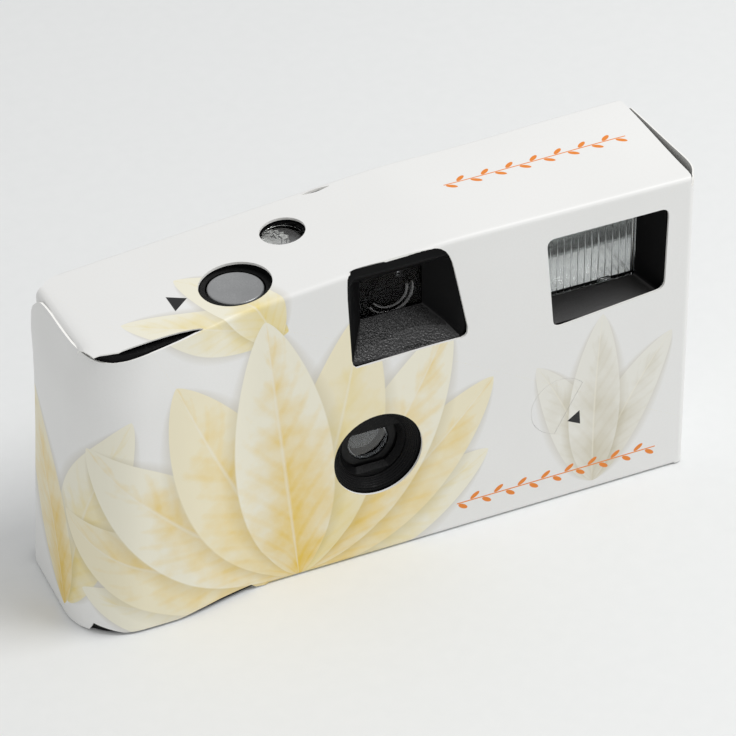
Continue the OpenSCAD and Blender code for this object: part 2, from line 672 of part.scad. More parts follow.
// Cassette caps: two crimped ends
module cassette_caps() color([0.35, 0.36, 0.38]) for (s = [0, 1]) {
    z0 = s ? cassette_z + cassette_h - 1.6 : cassette_z;
    difference() {
        post(cassette_x, cassette_y, cassette_r, z0, z0 + 1.6);
        post(cassette_x, cassette_y, cassette_r - 0.2 + play, s ? z0 - 1 : z0 + 0.7, s ? z0 + 0.9 : z0 + 3);
        post(cassette_x, cassette_y, knob_r + play, z0 - 1, z0 + 3);
        box([cassette_x, film_y - 1.2, z0 - 1], [cassette_x + cassette_r + 1, film_y + 1, z0 + 3]);
    }
}

// Cassette spool: core with a slotted knob at the top
module cassette_spool() color([0.05, 0.05, 0.055]) difference() {
    union() {
        post(cassette_x, cassette_y, 5.6, cassette_z + 1, cassette_z + cassette_h - 1);
        post(cassette_x, cassette_y, knob_r, cassette_z + 0.1, cassette_z + cassette_h + knob_h);
    }
    box([cassette_x - 10, cassette_y - 0.6 - fit, wheel_z + 1.4 - fit],
        [cassette_x + 10, cassette_y + 0.6 + fit, sleeve_h]);
}

// Film strip: the stretch between roll and cassette, perforated along both edges
film_x0 = cassette_x + 6.5;
film_x1 = supply_x;
module film_strip() color([0.22, 0.16, 0.12]) difference() {
    box([film_x0, film_front, lens_z - film_w / 2], [film_x1, film_front + film_t, lens_z + film_w / 2]);
    for (i = [-2 : floor((film_x1 - sprocket_x - 2) / perf_pitch)])
        for (z = [perf_z, 2 * lens_z - perf_z])
            box([sprocket_x + i * perf_pitch - perf_w / 2, film_front - 1, z - perf_h / 2],
                [sprocket_x + i * perf_pitch + perf_w / 2, film_front + 1, z + perf_h / 2]);
}

// Film roll: unexposed film on the supply spool
module film_roll() color([0.22, 0.16, 0.12]) difference() {
    post(supply_x, supply_y, roll_r, lens_z - film_w / 2, lens_z + film_w / 2);
    post(supply_x, supply_y, core_r, 0, sleeve_h);
}

// Supply spool: core with a pivot at each end
module supply_spool() color([0.06, 0.06, 0.065]) {
    post(supply_x, supply_y, core_r, lens_z - film_w / 2 - 0.2, lens_z + film_w / 2 + 0.4);
    post(supply_x, supply_y, pivot_r, floor_z + 0.4, chamber_top + 0.4);
}

// Sprocket: drum with eight teeth, shaft and the finger that steps the counter
module sprocket() color([0.75, 0.75, 0.73]) {
    post(sprocket_x, sprocket_y, 1.5, perf_z - 4.4, deck_z + deck_t);
    post(sprocket_x, sprocket_y, 1, deck_z, dial_z + 1.4);
    post(sprocket_x, sprocket_y, sprocket_r - 0.1, perf_z - 1.2, perf_z + 2.4);
    for (a = [0 : 45 : 315])
        translate([sprocket_x, sprocket_y, 0]) rotate(90 + a)
            box([sprocket_r - 1, -0.6, perf_z - 0.9], [tooth_r - 0.03, 0.6, perf_z + 0.9]);
    translate([sprocket_x, sprocket_y, 0]) rotate(110)
        box([0, -0.5, dial_z], [finger_l, 0.5, dial_z + 1.4]);
}

// Counter dial: toothed disc that turns under the window
module counter_dial() color([0.9, 0.9, 0.88]) difference() {
    union() {
        translate([dial_x, counter_y, 0]) xy(dial_z, dial_z + 1.4)
            polygon([for (i = [0 : 71]) (dial_r - (i % 2) * 0.5) * [cos(i * 5), sin(i * 5)]]);
        post(dial_x, counter_y, 2.6, dial_z, dial_z + 1.8);
    }
    post(dial_x, counter_y, post_r + play, 0, sleeve_h);
}

// Counter lens: domed magnifier set in the roof
module counter_lens() color([0.8, 0.85, 0.88]) intersection() {
    union() {
        post(counter_x, counter_y, counter_r - 0.3 - play, dial_z + 2, sleeve_h);
        post(counter_x, counter_y, counter_r, dial_z + 2, dial_z + 2.7);
    }
    translate([counter_x, counter_y, top_z(counter_x) - 0.5 - 12]) sphere(12);
}

// Finder lens: clear plate, hollowed in front
module finder_lens() color([0.8, 0.85, 0.88]) difference() {
    box([finder_x - finder_w / 2 - 0.7, hood_end, finder_z - finder_h / 2 - 0.7],
        [finder_x + finder_w / 2 + 0.7, hood_end + 1.3, finder_z + finder_h / 2 + 0.7]);
    translate([finder_x, hood_end - 29.3, finder_z]) sphere(30, $fn = 240);
}

// Eyepiece: clear plate in the rear cover
module eyepiece() color([0.8, 0.85, 0.88])
    box([finder_x - eye_w / 2 - 0.9, eye_y, finder_z - eye_h / 2 - 0.9],
        [finder_x + eye_w / 2 + 0.9, eye_y + 1.2, finder_z + eye_h / 2 + 0.9]);

// Flash lens: clear window with upright ribs
rib_count = 12;
module flash_lens() color([0.85, 0.88, 0.9]) {
    xz(panel_y, panel_y + 1.2) polygon(oblong([flash_x, flash_z], panel_w, panel_h));
    for (i = [0 : rib_count - 1]) {
        pitch = (panel_w - 1.6) / rib_count;
        x = flash_x - panel_w / 2 + 0.8 + i * pitch;
        xy(flash_z - panel_h / 2 + 0.8, flash_z + panel_h / 2 - 0.8)
            polygon([[x, panel_y + e], [x + pitch / 2, panel_y - 0.35], [x + pitch, panel_y + e]]);
    }
}

// Reflector: bright trough with end cheeks behind the flash lens
function trough(t) = [for (i = [-8 : 8])
    let (s = i / 8)
    [panel_y + 1.3 + (reflector_d - t) * (1 - s * s), flash_z + s * (panel_h / 2 - t)]];
module reflector() color([0.85, 0.85, 0.86]) difference() {
    yz(flash_x - panel_w / 2, flash_x + panel_w / 2) polygon(trough(0));
    yz(flash_x - panel_w / 2 + 0.5, flash_x + panel_w / 2 - 0.5) polygon(trough(0.5));
    rod_x(tube_y, flash_z, 2, flash_x - 30, flash_x + 30);
}

// Flash tube: glass tube with metal ends through the cheeks
module flash_tube() color([0.85, 0.9, 0.92])
    rod_x(tube_y, flash_z, 1.5, flash_x - 13, flash_x + 13);

// Tube leads: two wires from the tube's ends to the board
module tube_leads() color([0.7, 0.68, 0.6]) for (s = [-1, 1]) {
    x = flash_x + s * 13.4;
    rod_x(tube_y, flash_z, 0.9, x - 0.4, x + 0.4);
    post(x, tube_y, 0.4, pcb_top - 2, flash_z);
    rod_y(x, pcb_top - 2, 0.4, pcb_back, tube_y);
}

// Circuit board: upright board on the flash side with a tongue for the lamp
module circuit_board() color([0.45, 0.38, 0.2]) {
    box([lens_x + 12, pcb_y, pcb_z], [x_end - inner - 0.8, pcb_back, pcb_top]);
    box([lamp_x - tongue_w / 2, pcb_y, pcb_top - 1],
        [lamp_x + tongue_w / 2, pcb_back, lamp_z + tongue_w / 2]);
}

// Capacitor: sleeved can lying behind the reflector, on the chassis side
module capacitor() color([0.1, 0.1, 0.12]) {
    rod_x(cap_y, cap_z, cap_r, cap_x0, cap_x1);
    // two leads down to the board
    for (y = [cap_y - lead_pitch, cap_y + lead_pitch]) {
        rod_x(y, cap_z, lead_r, lead_x - lead_r, cap_x0 + e);
        post(lead_x, y, lead_r, pcb_top - 3, cap_z);
        rod_y(lead_x, pcb_top - 3, lead_r, pcb_back, y);
    }
}

// Transformer: wound block on the back of the board
module transformer() color([0.3, 0.22, 0.12])
    box([winding_x, pcb_back, pcb_top - 5 - winding_w],
        [winding_x + winding_w, pcb_back + winding_t, pcb_top - 5]);

// Trigger coil: small upright winding
module trigger_coil() color([0.35, 0.15, 0.08]) {
    post(trigger_x, pcb_back + trigger_r + 0.2, trigger_r, trigger_z, trigger_z + trigger_h);
    box([trigger_x - trigger_r / 2, pcb_back, trigger_z + 1],
        [trigger_x + trigger_r / 2, pcb_back + 1.2, trigger_z + trigger_h - 1]);
}

// Transistor: half-round case on the board
module transistor() color([0.05, 0.05, 0.05]) difference() {
    post(transistor_x, pcb_back + 0.4, transistor_r, pcb_z + 1.3, pcb_z + 6);
    box([transistor_x - 5, pcb_back - 5, pcb_z], [transistor_x + 5, pcb_back, pcb_z + 8]);
}

// Charge switch: sprung strip on the board behind the charging button
module charge_switch() color([0.8, 0.65, 0.35]) {
    box([tab_x - 5, pcb_y - 0.9, tab_z - 1.5], [tab_x + 5, pcb_y - 0.6, tab_z + 1.5]);
    for (s = [-1, 1])
        box([tab_x + s * 4.6 - 0.4, pcb_y - 0.8, tab_z - 1.5], [tab_x + s * 4.6 + 0.4, pcb_y, tab_z + 1.5]);
}

// Sync contact: two strips beside the blade that fire the flash
module sync_contact() color([0.8, 0.65, 0.35]) {
    box([lens_x + 7.6, wall_y - 0.3, lens_z + 2], [lens_x + 12.4, wall_y, lens_z + 4]);
    box([lens_x + 7.6, wall_y - 0.7, lens_z + 2], [lens_x + 8, wall_y, lens_z + 4]);
}

// Ready lamp: small lamp on the board's tongue
module ready_lamp() color([0.9, 0.5, 0.2]) {
    rod_y(lamp_x, lamp_z, lamp_r, pcb_back, pcb_back + 3);
    translate([lamp_x, pcb_back + 3, lamp_z]) sphere(lamp_r);
}

// Light pipe: clear rod from the lamp to the back
module light_pipe() color([0.85, 0.6, 0.4])
    rod_y(lamp_x, lamp_z, pipe_r, pcb_back + 3 + lamp_r + 0.2, y_back - card_t);

// Battery: AA cell lying under the lens, plus end to the right
module battery() color([0.3, 0.3, 0.33]) {
    rod_x(battery_y, battery_z, battery_r, battery_x - battery_l / 2, battery_x + battery_l / 2);
    rod_x(battery_y, battery_z, 2.7, battery_x, battery_x + battery_l / 2 + 1.2);
}

// Battery contacts: sprung strips at both ends, reaching the board and the shutter wall
module battery_plus() color([0.75, 0.75, 0.72]) {
    x = battery_x + battery_l / 2 + 1.2;
    box([x, battery_y - 4, floor_z], [x + 0.4, battery_y + 4, battery_z + 4]);
    box([x, pcb_back, battery_z], [x + 0.4, pcb_back + 2, pcb_z + 3]);
}

module battery_minus() color([0.75, 0.75, 0.72]) {
    x = battery_x - battery_l / 2;
    box([x - 0.4, battery_y - 4, floor_z], [x, battery_y + 4, battery_z + 4]);
    box([x - 0.4, wall_y - 1.2, battery_z], [x, wall_y, pcb_z + 3]);
}

// Charging button: plunger behind the card tab
module flash_button() color([0.08, 0.08, 0.085]) {
    rod_y(tab_x, tab_z, tab_r - tab_slit, y_face + card_t + 0.4, in_face + run + 0.2);
    rod_y(tab_x, tab_z, tab_r + 0.9, in_face + run, in_face + run + 0.8);
    rod_y(tab_x, tab_z, 1.2, in_face + run, pcb_y - 0.9 - charge_travel - 0.1);
}

card_sleeve();
flash_tab();
front_cover();
rear_cover();
film_door();
chassis();
lens_board();
taking_lens();
lens_ring();
shutter_blade();
blade_spring();
striker_lever();
striker_spring();
release_lever();
shutter_button();
button_cap();
thumbwheel();
cassette_shell();
cassette_caps();
cassette_spool();
film_strip();
film_roll();
supply_spool();
sprocket();
counter_dial();
counter_lens();
finder_lens();
eyepiece();
flash_lens();
reflector();
flash_tube();
tube_leads();
circuit_board();
capacitor();
transformer();
trigger_coil();
transistor();
charge_switch();
sync_contact();
ready_lamp();
light_pipe();
battery();
battery_plus();
battery_minus();
flash_button();
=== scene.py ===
import math
from functools import partial

import bmesh
import bpy
import numpy as np
from mathutils import Matrix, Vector
from mathutils.geometry import delaunay_2d_cdt


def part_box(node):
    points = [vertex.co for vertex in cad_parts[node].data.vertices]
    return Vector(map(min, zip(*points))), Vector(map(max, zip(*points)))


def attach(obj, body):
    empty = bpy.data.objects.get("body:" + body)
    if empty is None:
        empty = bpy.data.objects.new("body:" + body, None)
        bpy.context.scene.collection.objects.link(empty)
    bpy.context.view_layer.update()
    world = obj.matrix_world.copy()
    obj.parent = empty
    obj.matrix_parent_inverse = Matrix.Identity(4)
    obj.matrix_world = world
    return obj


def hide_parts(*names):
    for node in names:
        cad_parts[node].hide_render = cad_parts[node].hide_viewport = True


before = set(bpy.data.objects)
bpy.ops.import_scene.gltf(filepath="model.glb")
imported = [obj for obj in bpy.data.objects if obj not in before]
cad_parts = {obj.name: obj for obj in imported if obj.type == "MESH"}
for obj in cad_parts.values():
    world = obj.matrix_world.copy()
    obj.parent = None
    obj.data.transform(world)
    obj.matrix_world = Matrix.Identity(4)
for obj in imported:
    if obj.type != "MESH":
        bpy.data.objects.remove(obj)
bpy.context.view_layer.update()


# Inner frame, film door, lens board, levers and spools: black styrene mouldings that clip together
# into the light-tight box. They are matt, with the even grain of a spark-eroded mould.
def put(tree, kind, *values, out=0, **settings):
    """Adds one shader node. Values go to its sockets in order, or by name from a dictionary, as plain
    values or links; settings are its properties."""
    node = tree.nodes.new("ShaderNode" + kind)
    for key, value in settings.items():
        setattr(node, key, value)
    named = values[0] if values and isinstance(values[0], dict) else None
    pairs = [(node.inputs[k], v) for k, v in named.items()] if named else zip(node.inputs, values)
    for target, value in pairs:
        if isinstance(value, bpy.types.NodeSocket):
            tree.links.new(value, target)
        elif value is not None:
            target.default_value = value
    return node.outputs if out is None else node.outputs[out]


def calc(tree, operation, *values):
    """One Math node."""
    return put(tree, "Math", *values, operation=operation)


def noise(tree, scale, detail, at=None):
    """Smooth noise of so many grains to the unit, at the given place or the object's own coordinates."""
    if at is None:
        at = put(tree, "TexCoord", out=3)
    return put(tree, "TexNoise", {"Vector": at, "Scale": scale, "Detail": detail})


def ramp(tree, value, low, high, at_low, at_high):
    """Carries a value from the span low to high over to at_low to at_high, held at its ends."""
    return put(tree, "MapRange", value, low, high, at_low, at_high)


def effect(name, inputs, outputs):
    """Starts a node group with named sockets, and gives its tree, its inputs and its outputs."""
    tree = bpy.data.node_groups.new(name, "ShaderNodeTree")
    for label, kind in inputs:
        tree.interface.new_socket(label, in_out="INPUT", socket_type="NodeSocket" + kind)
    for label, kind in outputs:
        tree.interface.new_socket(label, in_out="OUTPUT", socket_type="NodeSocket" + kind)
    return tree, tree.nodes.new("NodeGroupInput").outputs, tree.nodes.new("NodeGroupOutput").inputs


def new_finish(name, plain):
    """Starts a material. Plain values go straight to the sockets of its Principled shader."""
    material = bpy.data.materials.new(name)
    material.use_nodes = True
    shader = material.node_tree.nodes["Principled BSDF"]
    for key, value in plain.items():
        shader.inputs[key].default_value = value
    return material, material.node_tree, shader


def cover(tree, shader, looks, bump=None):
    """Links what changes over the surface to the shader's sockets, by name. A bump is a strength, a
    depth in metres and a height."""
    if bump:
        looks["Normal"] = put(tree, "Bump", dict(zip(("Strength", "Distance", "Height"), bump)))
    for key, value in looks.items():
        tree.links.new(value, shader.inputs[key])


# Grain of a moulded surface: two noises, one of a few millimetres that shifts the tone and the
# gloss as the melt flowed, and one as fine as the mould's texture that raises the surface.
mould_grain, given, made = effect(
    "mould_grain", [("Colour", "Color"), ("Grain", "Float"), ("Gloss", "Float")],
    [("Colour", "Color"), ("Roughness", "Float"), ("Height", "Float")])
place = put(mould_grain, "TexCoord", out=3)
flow = noise(mould_grain, 170.0, 3.0, place)
speck = noise(mould_grain, given["Grain"], 2.0, place)
plus = partial(calc, mould_grain, "ADD")
tone = plus(ramp(mould_grain, flow, 0.3, 0.7, 0.84, 1.12), ramp(mould_grain, speck, 0.3, 0.7, -0.08, 0.1))
mould_grain.links.new(put(mould_grain, "VectorMath", {"Vector": given["Colour"], "Scale": tone},
                          operation="SCALE"), made["Colour"])
mould_grain.links.new(plus(given["Gloss"], plus(ramp(mould_grain, flow, 0.3, 0.7, -0.05, 0.06), ramp(
    mould_grain, speck, 0.3, 0.7, -0.04, 0.04))), made["Roughness"])
mould_grain.links.new(speck, made["Height"])


def moulding(name, colour, grain, gloss, depth, shine=0.5):
    """Moulded plastic: colour, grains to the metre, roughness, the grain's depth in metres and shine."""
    material, tree, shader = new_finish(name, {"IOR": 1.5, "Specular IOR Level": shine})
    skin = put(tree, "Group", colour + (1.0,), grain, gloss, out=None, node_tree=mould_grain)
    cover(tree, shader, {"Base Color": skin["Colour"], "Roughness": skin["Roughness"]},
          (0.6, depth, skin["Height"]))
    return material


def dress(material, *names):
    """Gives CAD nodes their finish in place of the plain one they come with."""
    for name in names:
        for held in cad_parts[name].material_slots:
            held.material = material


frame_black = moulding("frame_black", (0.004, 0.004, 0.0043), 3800.0, 0.6, 0.00004, 0.12)
lever_black = moulding("lever_black", (0.014, 0.014, 0.015), 5200.0, 0.42, 0.00001)
dress(frame_black, "chassis", "film_door", "lens_board", "supply_spool", "cassette_spool")
dress(lever_black, "release_lever", "striker_lever", "sprocket", "shutter_button", "flash_button")


# Film: 35 mm wide acetate base, grey-brown on the coated side, with a soft sheen. On the roll the
# edges of its turns show as fine rings.
film_base, tree, shader = new_finish("film_base", {"IOR": 1.48, "Coat Roughness": 0.2})
place = put(tree, "TexCoord", out=3)
haze = noise(tree, 90.0, 4.0, place)
turns = put(tree, "TexWave", {"Vector": place, "Scale": 1900.0, "Distortion": 0.6},
            wave_type="RINGS", rings_direction="Z")
brown = put(tree, "MixRGB", haze, (0.075, 0.052, 0.038, 1.0), (0.12, 0.09, 0.07, 1.0))
cover(tree, shader, {
    "Base Color": put(tree, "MixRGB", calc(tree, "MULTIPLY", turns, 0.35), brown, (0.03, 0.022, 0.018, 1.0)),
    "Roughness": ramp(tree, haze, 0.3, 0.7, 0.22, 0.4),
    "Coat Weight": ramp(tree, haze, 0.3, 0.7, 0.25, 0.45)})
dress(film_base, "film_strip", "film_roll")


# Drawn and rolled metal, for the cassette, the springs, the contacts and the can: fine lines along
# one axis, as the strip came through the rolls, with dull patches where it has been handled.
rolled_lines, given, made = effect(
    "rolled_lines", [("Colour", "Color"), ("Stretch", "Vector"), ("Gloss", "Float")],
    [("Colour", "Color"), ("Roughness", "Float"), ("Height", "Float")])
place = put(rolled_lines, "TexCoord", out=3)
lines = noise(rolled_lines, 1.0, 3.0, put(rolled_lines, "VectorMath", place, given["Stretch"],
                                          operation="MULTIPLY"))
dull = noise(rolled_lines, 260.0, 4.0, place)
rolled_lines.links.new(put(rolled_lines, "VectorMath", {
    "Vector": given["Colour"], "Scale": ramp(rolled_lines, lines, 0.3, 0.7, 0.86, 1.06)},
    operation="SCALE"), made["Colour"])
plus = partial(calc, rolled_lines, "ADD")
rolled_lines.links.new(plus(given["Gloss"], plus(ramp(rolled_lines, dull, 0.35, 0.7, -0.05, 0.16), ramp(
    rolled_lines, lines, 0.3, 0.7, -0.05, 0.05))), made["Roughness"])
rolled_lines.links.new(lines, made["Height"])


def rolled(name, colour, stretch, gloss, metal=1.0):
    """Rolled metal: colour, lines to the metre along each axis, roughness and how bare it is."""
    material, tree, shader = new_finish(name, {"Metallic": metal})
    skin = put(tree, "Group", colour + (1.0,), stretch, gloss, out=None, node_tree=rolled_lines)
    cover(tree, shader, {"Base Color": skin["Colour"], "Roughness": skin["Roughness"]},
          (0.25, 0.00001, skin["Height"]))
    return material


dress(rolled("cassette_lacquer", (0.055, 0.075, 0.06), (300.0, 300.0, 4000.0), 0.32, 0.3), "cassette_shell")
dress(rolled("cassette_cap", (0.62, 0.62, 0.6), (3000.0, 3000.0, 300.0), 0.3), "cassette_caps")
dress(rolled("blade_steel", (0.03, 0.03, 0.032), (6000.0, 300.0, 300.0), 0.45, 0.6), "shutter_blade")
dress(rolled("spring_steel", (0.56, 0.56, 0.57), (900.0, 900.0, 6000.0), 0.28),
      "blade_spring", "striker_spring")
dress(rolled("contact_brass", (0.66, 0.5, 0.22), (400.0, 5000.0, 900.0), 0.3),
      "charge_switch", "sync_contact", "battery_plus", "battery_minus", "tube_leads")
dress(rolled("can_lacquer", (0.05, 0.055, 0.075), (4000.0, 260.0, 260.0), 0.36, 0.25), "capacitor")
dress(rolled("cell_jacket", (0.16, 0.165, 0.175), (160.0, 2600.0, 2600.0), 0.3, 0.45), "battery")


# Advance wheel: a ridged black moulding whose rim the thumb turns through the slot in the back. The
# rim is polished by the mould and slightly shinier than the case.
dress(moulding("wheel_black", (0.02, 0.02, 0.021), 5200.0, 0.4, 0.00002), "thumbwheel")


# Counter dial: a white disc that the sprocket's finger moves on by one mark for each picture. Its
# plain figures and marks are pad-printed in black, and are raised here by the ink's thickness.
def into_scene(name, data):
    """Adds an object of that name to the scene."""
    added = bpy.data.objects.new(name, data)
    bpy.context.scene.collection.objects.link(added)
    return added


dial_white = moulding("dial_white", (0.78, 0.78, 0.75), 5200.0, 0.38, 0.00001)
dial_ink = moulding("dial_ink", (0.02, 0.02, 0.02), 9000.0, 0.55, 0.00001)
dress(dial_white, "counter_dial")
low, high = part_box("counter_dial")
dial_axis = np.array([(low.x + high.x) / 2, (low.y + high.y) / 2, high.z]) * 1000
ink_points, ink_faces, count = [], [], 0
for step in range(20):
    if step % 2 == 0:
        curve = bpy.data.curves.new("figure", "FONT")
        curve.body, curve.size, curve.extrude = str(27 - step * 3 // 2), 1.8, 0.02
        curve.align_x, curve.align_y = "CENTER", "CENTER"
        holder = into_scene("figure", curve)
        bpy.context.view_layer.update()
        figure = bpy.data.meshes.new_from_object(holder.evaluated_get(bpy.context.evaluated_depsgraph_get()))
        bpy.data.objects.remove(holder)
        flat = np.array([v.co[:] for v in figure.vertices])
        sides = [list(p.vertices) for p in figure.polygons]
    else:
        flat = np.array([[x, y, z] for z in (-0.02, 0.02) for y in (-0.5, 0.5) for x in (-0.12, 0.12)])
        sides = [[0, 2, 3, 1], [4, 5, 7, 6], [0, 1, 5, 4], [2, 6, 7, 3], [0, 4, 6, 2], [1, 3, 7, 5]]
    flat = flat * [-1, -1, 1] + [4.0, 0, 0.0]
    turn = step * math.pi / 10
    ink_points.append(flat @ np.array([[math.cos(turn), math.sin(turn), 0],
                                       [-math.sin(turn), math.cos(turn), 0], [0, 0, 1]]) + dial_axis)
    ink_faces += [[i + count for i in side] for side in sides]
    count += len(flat)


def piece(name, points, faces, materials, body, slot, sharp=35, recalculated=True):
    """Puts millimetre points and faces into a mesh at the origin, in metres, with faces outwards and
    smooth between its sharp edges, and sets it on its body. The slot argument is not used."""
    mesh = bpy.data.meshes.new(name)
    mesh.from_pydata((np.asarray(points) * 0.001).tolist(), [], [list(map(int, f)) for f in faces])
    if recalculated:
        work = bmesh.new()
        work.from_mesh(mesh)
        bmesh.ops.recalc_face_normals(work, faces=work.faces)
        work.to_mesh(mesh)
        work.free()
    mesh.polygons.foreach_set("use_smooth", np.ones(len(mesh.polygons), bool))
    mesh.set_sharp_from_angle(angle=math.radians(sharp))
    for material in materials:
        mesh.materials.append(material)
    made_piece = into_scene(name, mesh)
    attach(made_piece, body)
    return made_piece


piece("counter_figures", np.concatenate(ink_points), ink_faces, [dial_ink], "counter", "white_plastic")


# Clear mouldings: the taking lens, both finder lenses, the magnifier over the dial, the ribbed flash
# window and the light pipe, in acrylic. A trace of dust and of flow haze dulls the gloss.
def clear(name, colour, gloss, index=1.49, haze=0.05):
    """Clear plastic or glass: tint, roughness, refractive index and how far dust dulls it."""
    material, tree, shader = new_finish(name, {"IOR": index, "Transmission Weight": 1.0, "Metallic": 0.0})
    place = put(tree, "TexCoord", out=3)
    dust = noise(tree, 2400.0, 3.0, place)
    flow = noise(tree, 220.0, 2.0, place)
    darker = tuple(0.96 * c for c in colour)
    cover(tree, shader, {
        "Roughness": ramp(tree, calc(tree, "MULTIPLY", dust, flow), 0.24, 0.5, gloss, gloss + haze),
        "Base Color": put(tree, "MixRGB", flow, colour + (1.0,), darker + (1.0,))})
    return material


acrylic = clear("acrylic", (0.95, 0.96, 0.96), 0.0)
dress(acrylic, "eyepiece", "counter_lens", "light_pipe")


def block(front, back):
    """Points and faces of a closed slab between two grids of one size: both grids, and the strip that
    joins their borders."""
    at = np.arange(front.shape[0] * front.shape[1]).reshape(front.shape[:2])
    quads = np.stack([at[:-1, :-1], at[:-1, 1:], at[1:, 1:], at[1:, :-1]], -1).reshape(-1, 4)
    border = np.concatenate([at[0, :-1], at[:-1, -1], at[-1, :0:-1], at[:0:-1, 0]])
    after = np.roll(border, -1)
    return (np.concatenate([front.reshape(-1, 3), back.reshape(-1, 3)]),
            np.concatenate([quads, quads[:, ::-1] + at.size,
                            np.stack([border, after, after + at.size, border + at.size], -1)]))


# Finder's front lens: a hollow round dish in a square plate, with two fine ridges inside its rim. Their lower
# right sides get a copy of the clear finish with a much higher index: a painted highlight where the light
# catches them.
finder_x, finder_z = 3.5, 55.3
ridges = [(4.7, 0.3, 0.2), (3.7, 0.25, 0.14)]
x, z = np.meshgrid(np.linspace(-3.6, 10.6, 190), np.linspace(50.45, 60.15, 130))
out = np.hypot(x - finder_x, z - finder_z)
hollow = -7.6 + np.clip(1 - (out / 5.3) ** 2, 0, 1)
for radius, half, height in ridges:
    hollow = hollow - height * np.clip(1 - ((out - radius) / half) ** 2, 0, 1)
finder_clear = clear("finder_acrylic", (0.8, 0.82, 0.84), 0.0, 1.15, 0.01)
# A copy of the finder's clear finish at index 1.9 instead of 1.15, for the painted highlight on the ridges.
finder_highlight_rim = clear("finder_highlight_rim", (0.8, 0.82, 0.84), 0.02, 1.9, 0.02)
lens = piece("finder_dish", *block(np.stack([x, hollow, z], -1),
                                   np.stack([x, np.full_like(x, -6.37), z], -1)),
             [finder_clear, finder_highlight_rim], "camera", "clear_plastic", sharp=60)
middle = np.zeros(len(lens.data.polygons) * 3)
lens.data.polygons.foreach_get("center", middle)
x, y, z = middle.reshape(-1, 3).T * 1000
out = np.hypot(x - finder_x, z - finder_z)
on_ridge = np.any([abs(out - radius) < half for radius, half, _ in ridges], 0)
# Painted highlight: only the ridges' front polygons on the lower right take the higher-index copy.
painted_highlight_side = on_ridge & (y < -6.5) & (z - finder_z < 0.4 * (x - finder_x) - 0.6)
lens.data.polygons.foreach_set("material_index", painted_highlight_side.astype(np.int32))
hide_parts("finder_lens")

# Flash window: a flat plate with narrow half-round ribs down its face, which spread the light sideways.
rib_pitch, rib_half, rib_height = 1.49, 0.22, 0.16
x, z = np.meshgrid(np.linspace(36.32, 55.68, 420), np.linspace(44.52, 59.88, 4))
rib_off = np.mod(x - 36.4, rib_pitch) - rib_pitch / 2
ribs = -8.02 - rib_height * np.sqrt(np.clip(1 - (rib_off / rib_half) ** 2, 0, 1))
flash_clear = clear("flash_acrylic", (0.93, 0.95, 0.94), 0.0, 1.42, 0.02)
window = piece("flash_window", *block(np.stack([x, ribs, z], -1),
                                      np.stack([x, np.full_like(x, -7.2), z], -1)),
               [flash_clear], "camera", "clear_plastic", sharp=40)
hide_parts("flash_lens")
dress(clear("tube_glass", (0.3, 0.32, 0.31), 0.01, 1.3), "flash_tube")
dress(clear("lamp_glass", (0.95, 0.62, 0.42), 0.04, 1.5), "ready_lamp")


# Flash circuit: a tan paper board with its parts, the wound transformer and trigger coil, a black
# transistor, and behind the window a vacuum-plated reflector bent from bright sheet in three walls.
board_tan, tree, shader = new_finish("board_tan", {"IOR": 1.5, "Coat Roughness": 0.25})
place = put(tree, "TexCoord", out=3)
fibre = noise(tree, 900.0, 5.0, place)
track = put(tree, "TexVoronoi", {"Vector": put(tree, "VectorMath", place, (160.0, 0.0, 160.0),
                                               operation="MULTIPLY"), "Scale": 1.0},
            feature="DISTANCE_TO_EDGE")
tan = put(tree, "MixRGB", fibre, (0.36, 0.2, 0.08, 1.0), (0.5, 0.3, 0.13, 1.0))
cover(tree, shader, {
    "Base Color": put(tree, "MixRGB", ramp(tree, track, 0.07, 0.1, 0.0, 0.65), tan, (0.2, 0.22, 0.07, 1.0)),
    "Roughness": ramp(tree, fibre, 0.3, 0.7, 0.35, 0.5),
    "Coat Weight": ramp(tree, track, 0.05, 0.12, 0.1, 0.5)})
dress(board_tan, "circuit_board")
dress(moulding("wound_tape", (0.42, 0.3, 0.06), 2600.0, 0.4, 0.00002), "transformer", "trigger_coil")
dress(moulding("part_black", (0.018, 0.018, 0.02), 6000.0, 0.35, 0.00001), "transistor")
bright_plate, tree, shader = new_finish("bright_plate", {"Metallic": 1.0})
ripple = noise(tree, 420.0, 3.0)
cover(tree, shader, {
    "Base Color": put(tree, "MixRGB", ripple, (0.86, 0.87, 0.88, 1.0), (0.95, 0.95, 0.95, 1.0)),
    "Roughness": ramp(tree, ripple, 0.3, 0.7, 0.14, 0.24)}, (0.05, 0.00003, ripple))
flash_x, flash_z, lip_y = 46, 52.2, -6.75
across = np.concatenate([[37.0], np.linspace(37.0, 55.0, 30), [55.0]])
way = np.concatenate([np.linspace(0, 0.98, 24), np.linspace(1.02, 1.98, 12), np.linspace(2.02, 3, 24)])
x, deep = np.meshgrid(across, np.interp(way, range(4), [-6.7, -1.15, -1.15, -6.7]))
high = np.broadcast_to(np.interp(way, range(4), [-7.2, -1.1, 1.1, 7.2])[:, None], x.shape)
deep[:, [0, -1]] = lip_y
inner = np.stack([x, deep, flash_z + high], -1)
outer = np.stack([flash_x + (x - flash_x) * 1.045, deep + 0.45, flash_z + high * 1.06], -1)
outer[:, [0, -1], 1] = lip_y
bowl = piece("reflector_trough", *block(inner, outer), [bright_plate], "camera", "reflector_bright", sharp=30)
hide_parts("reflector")


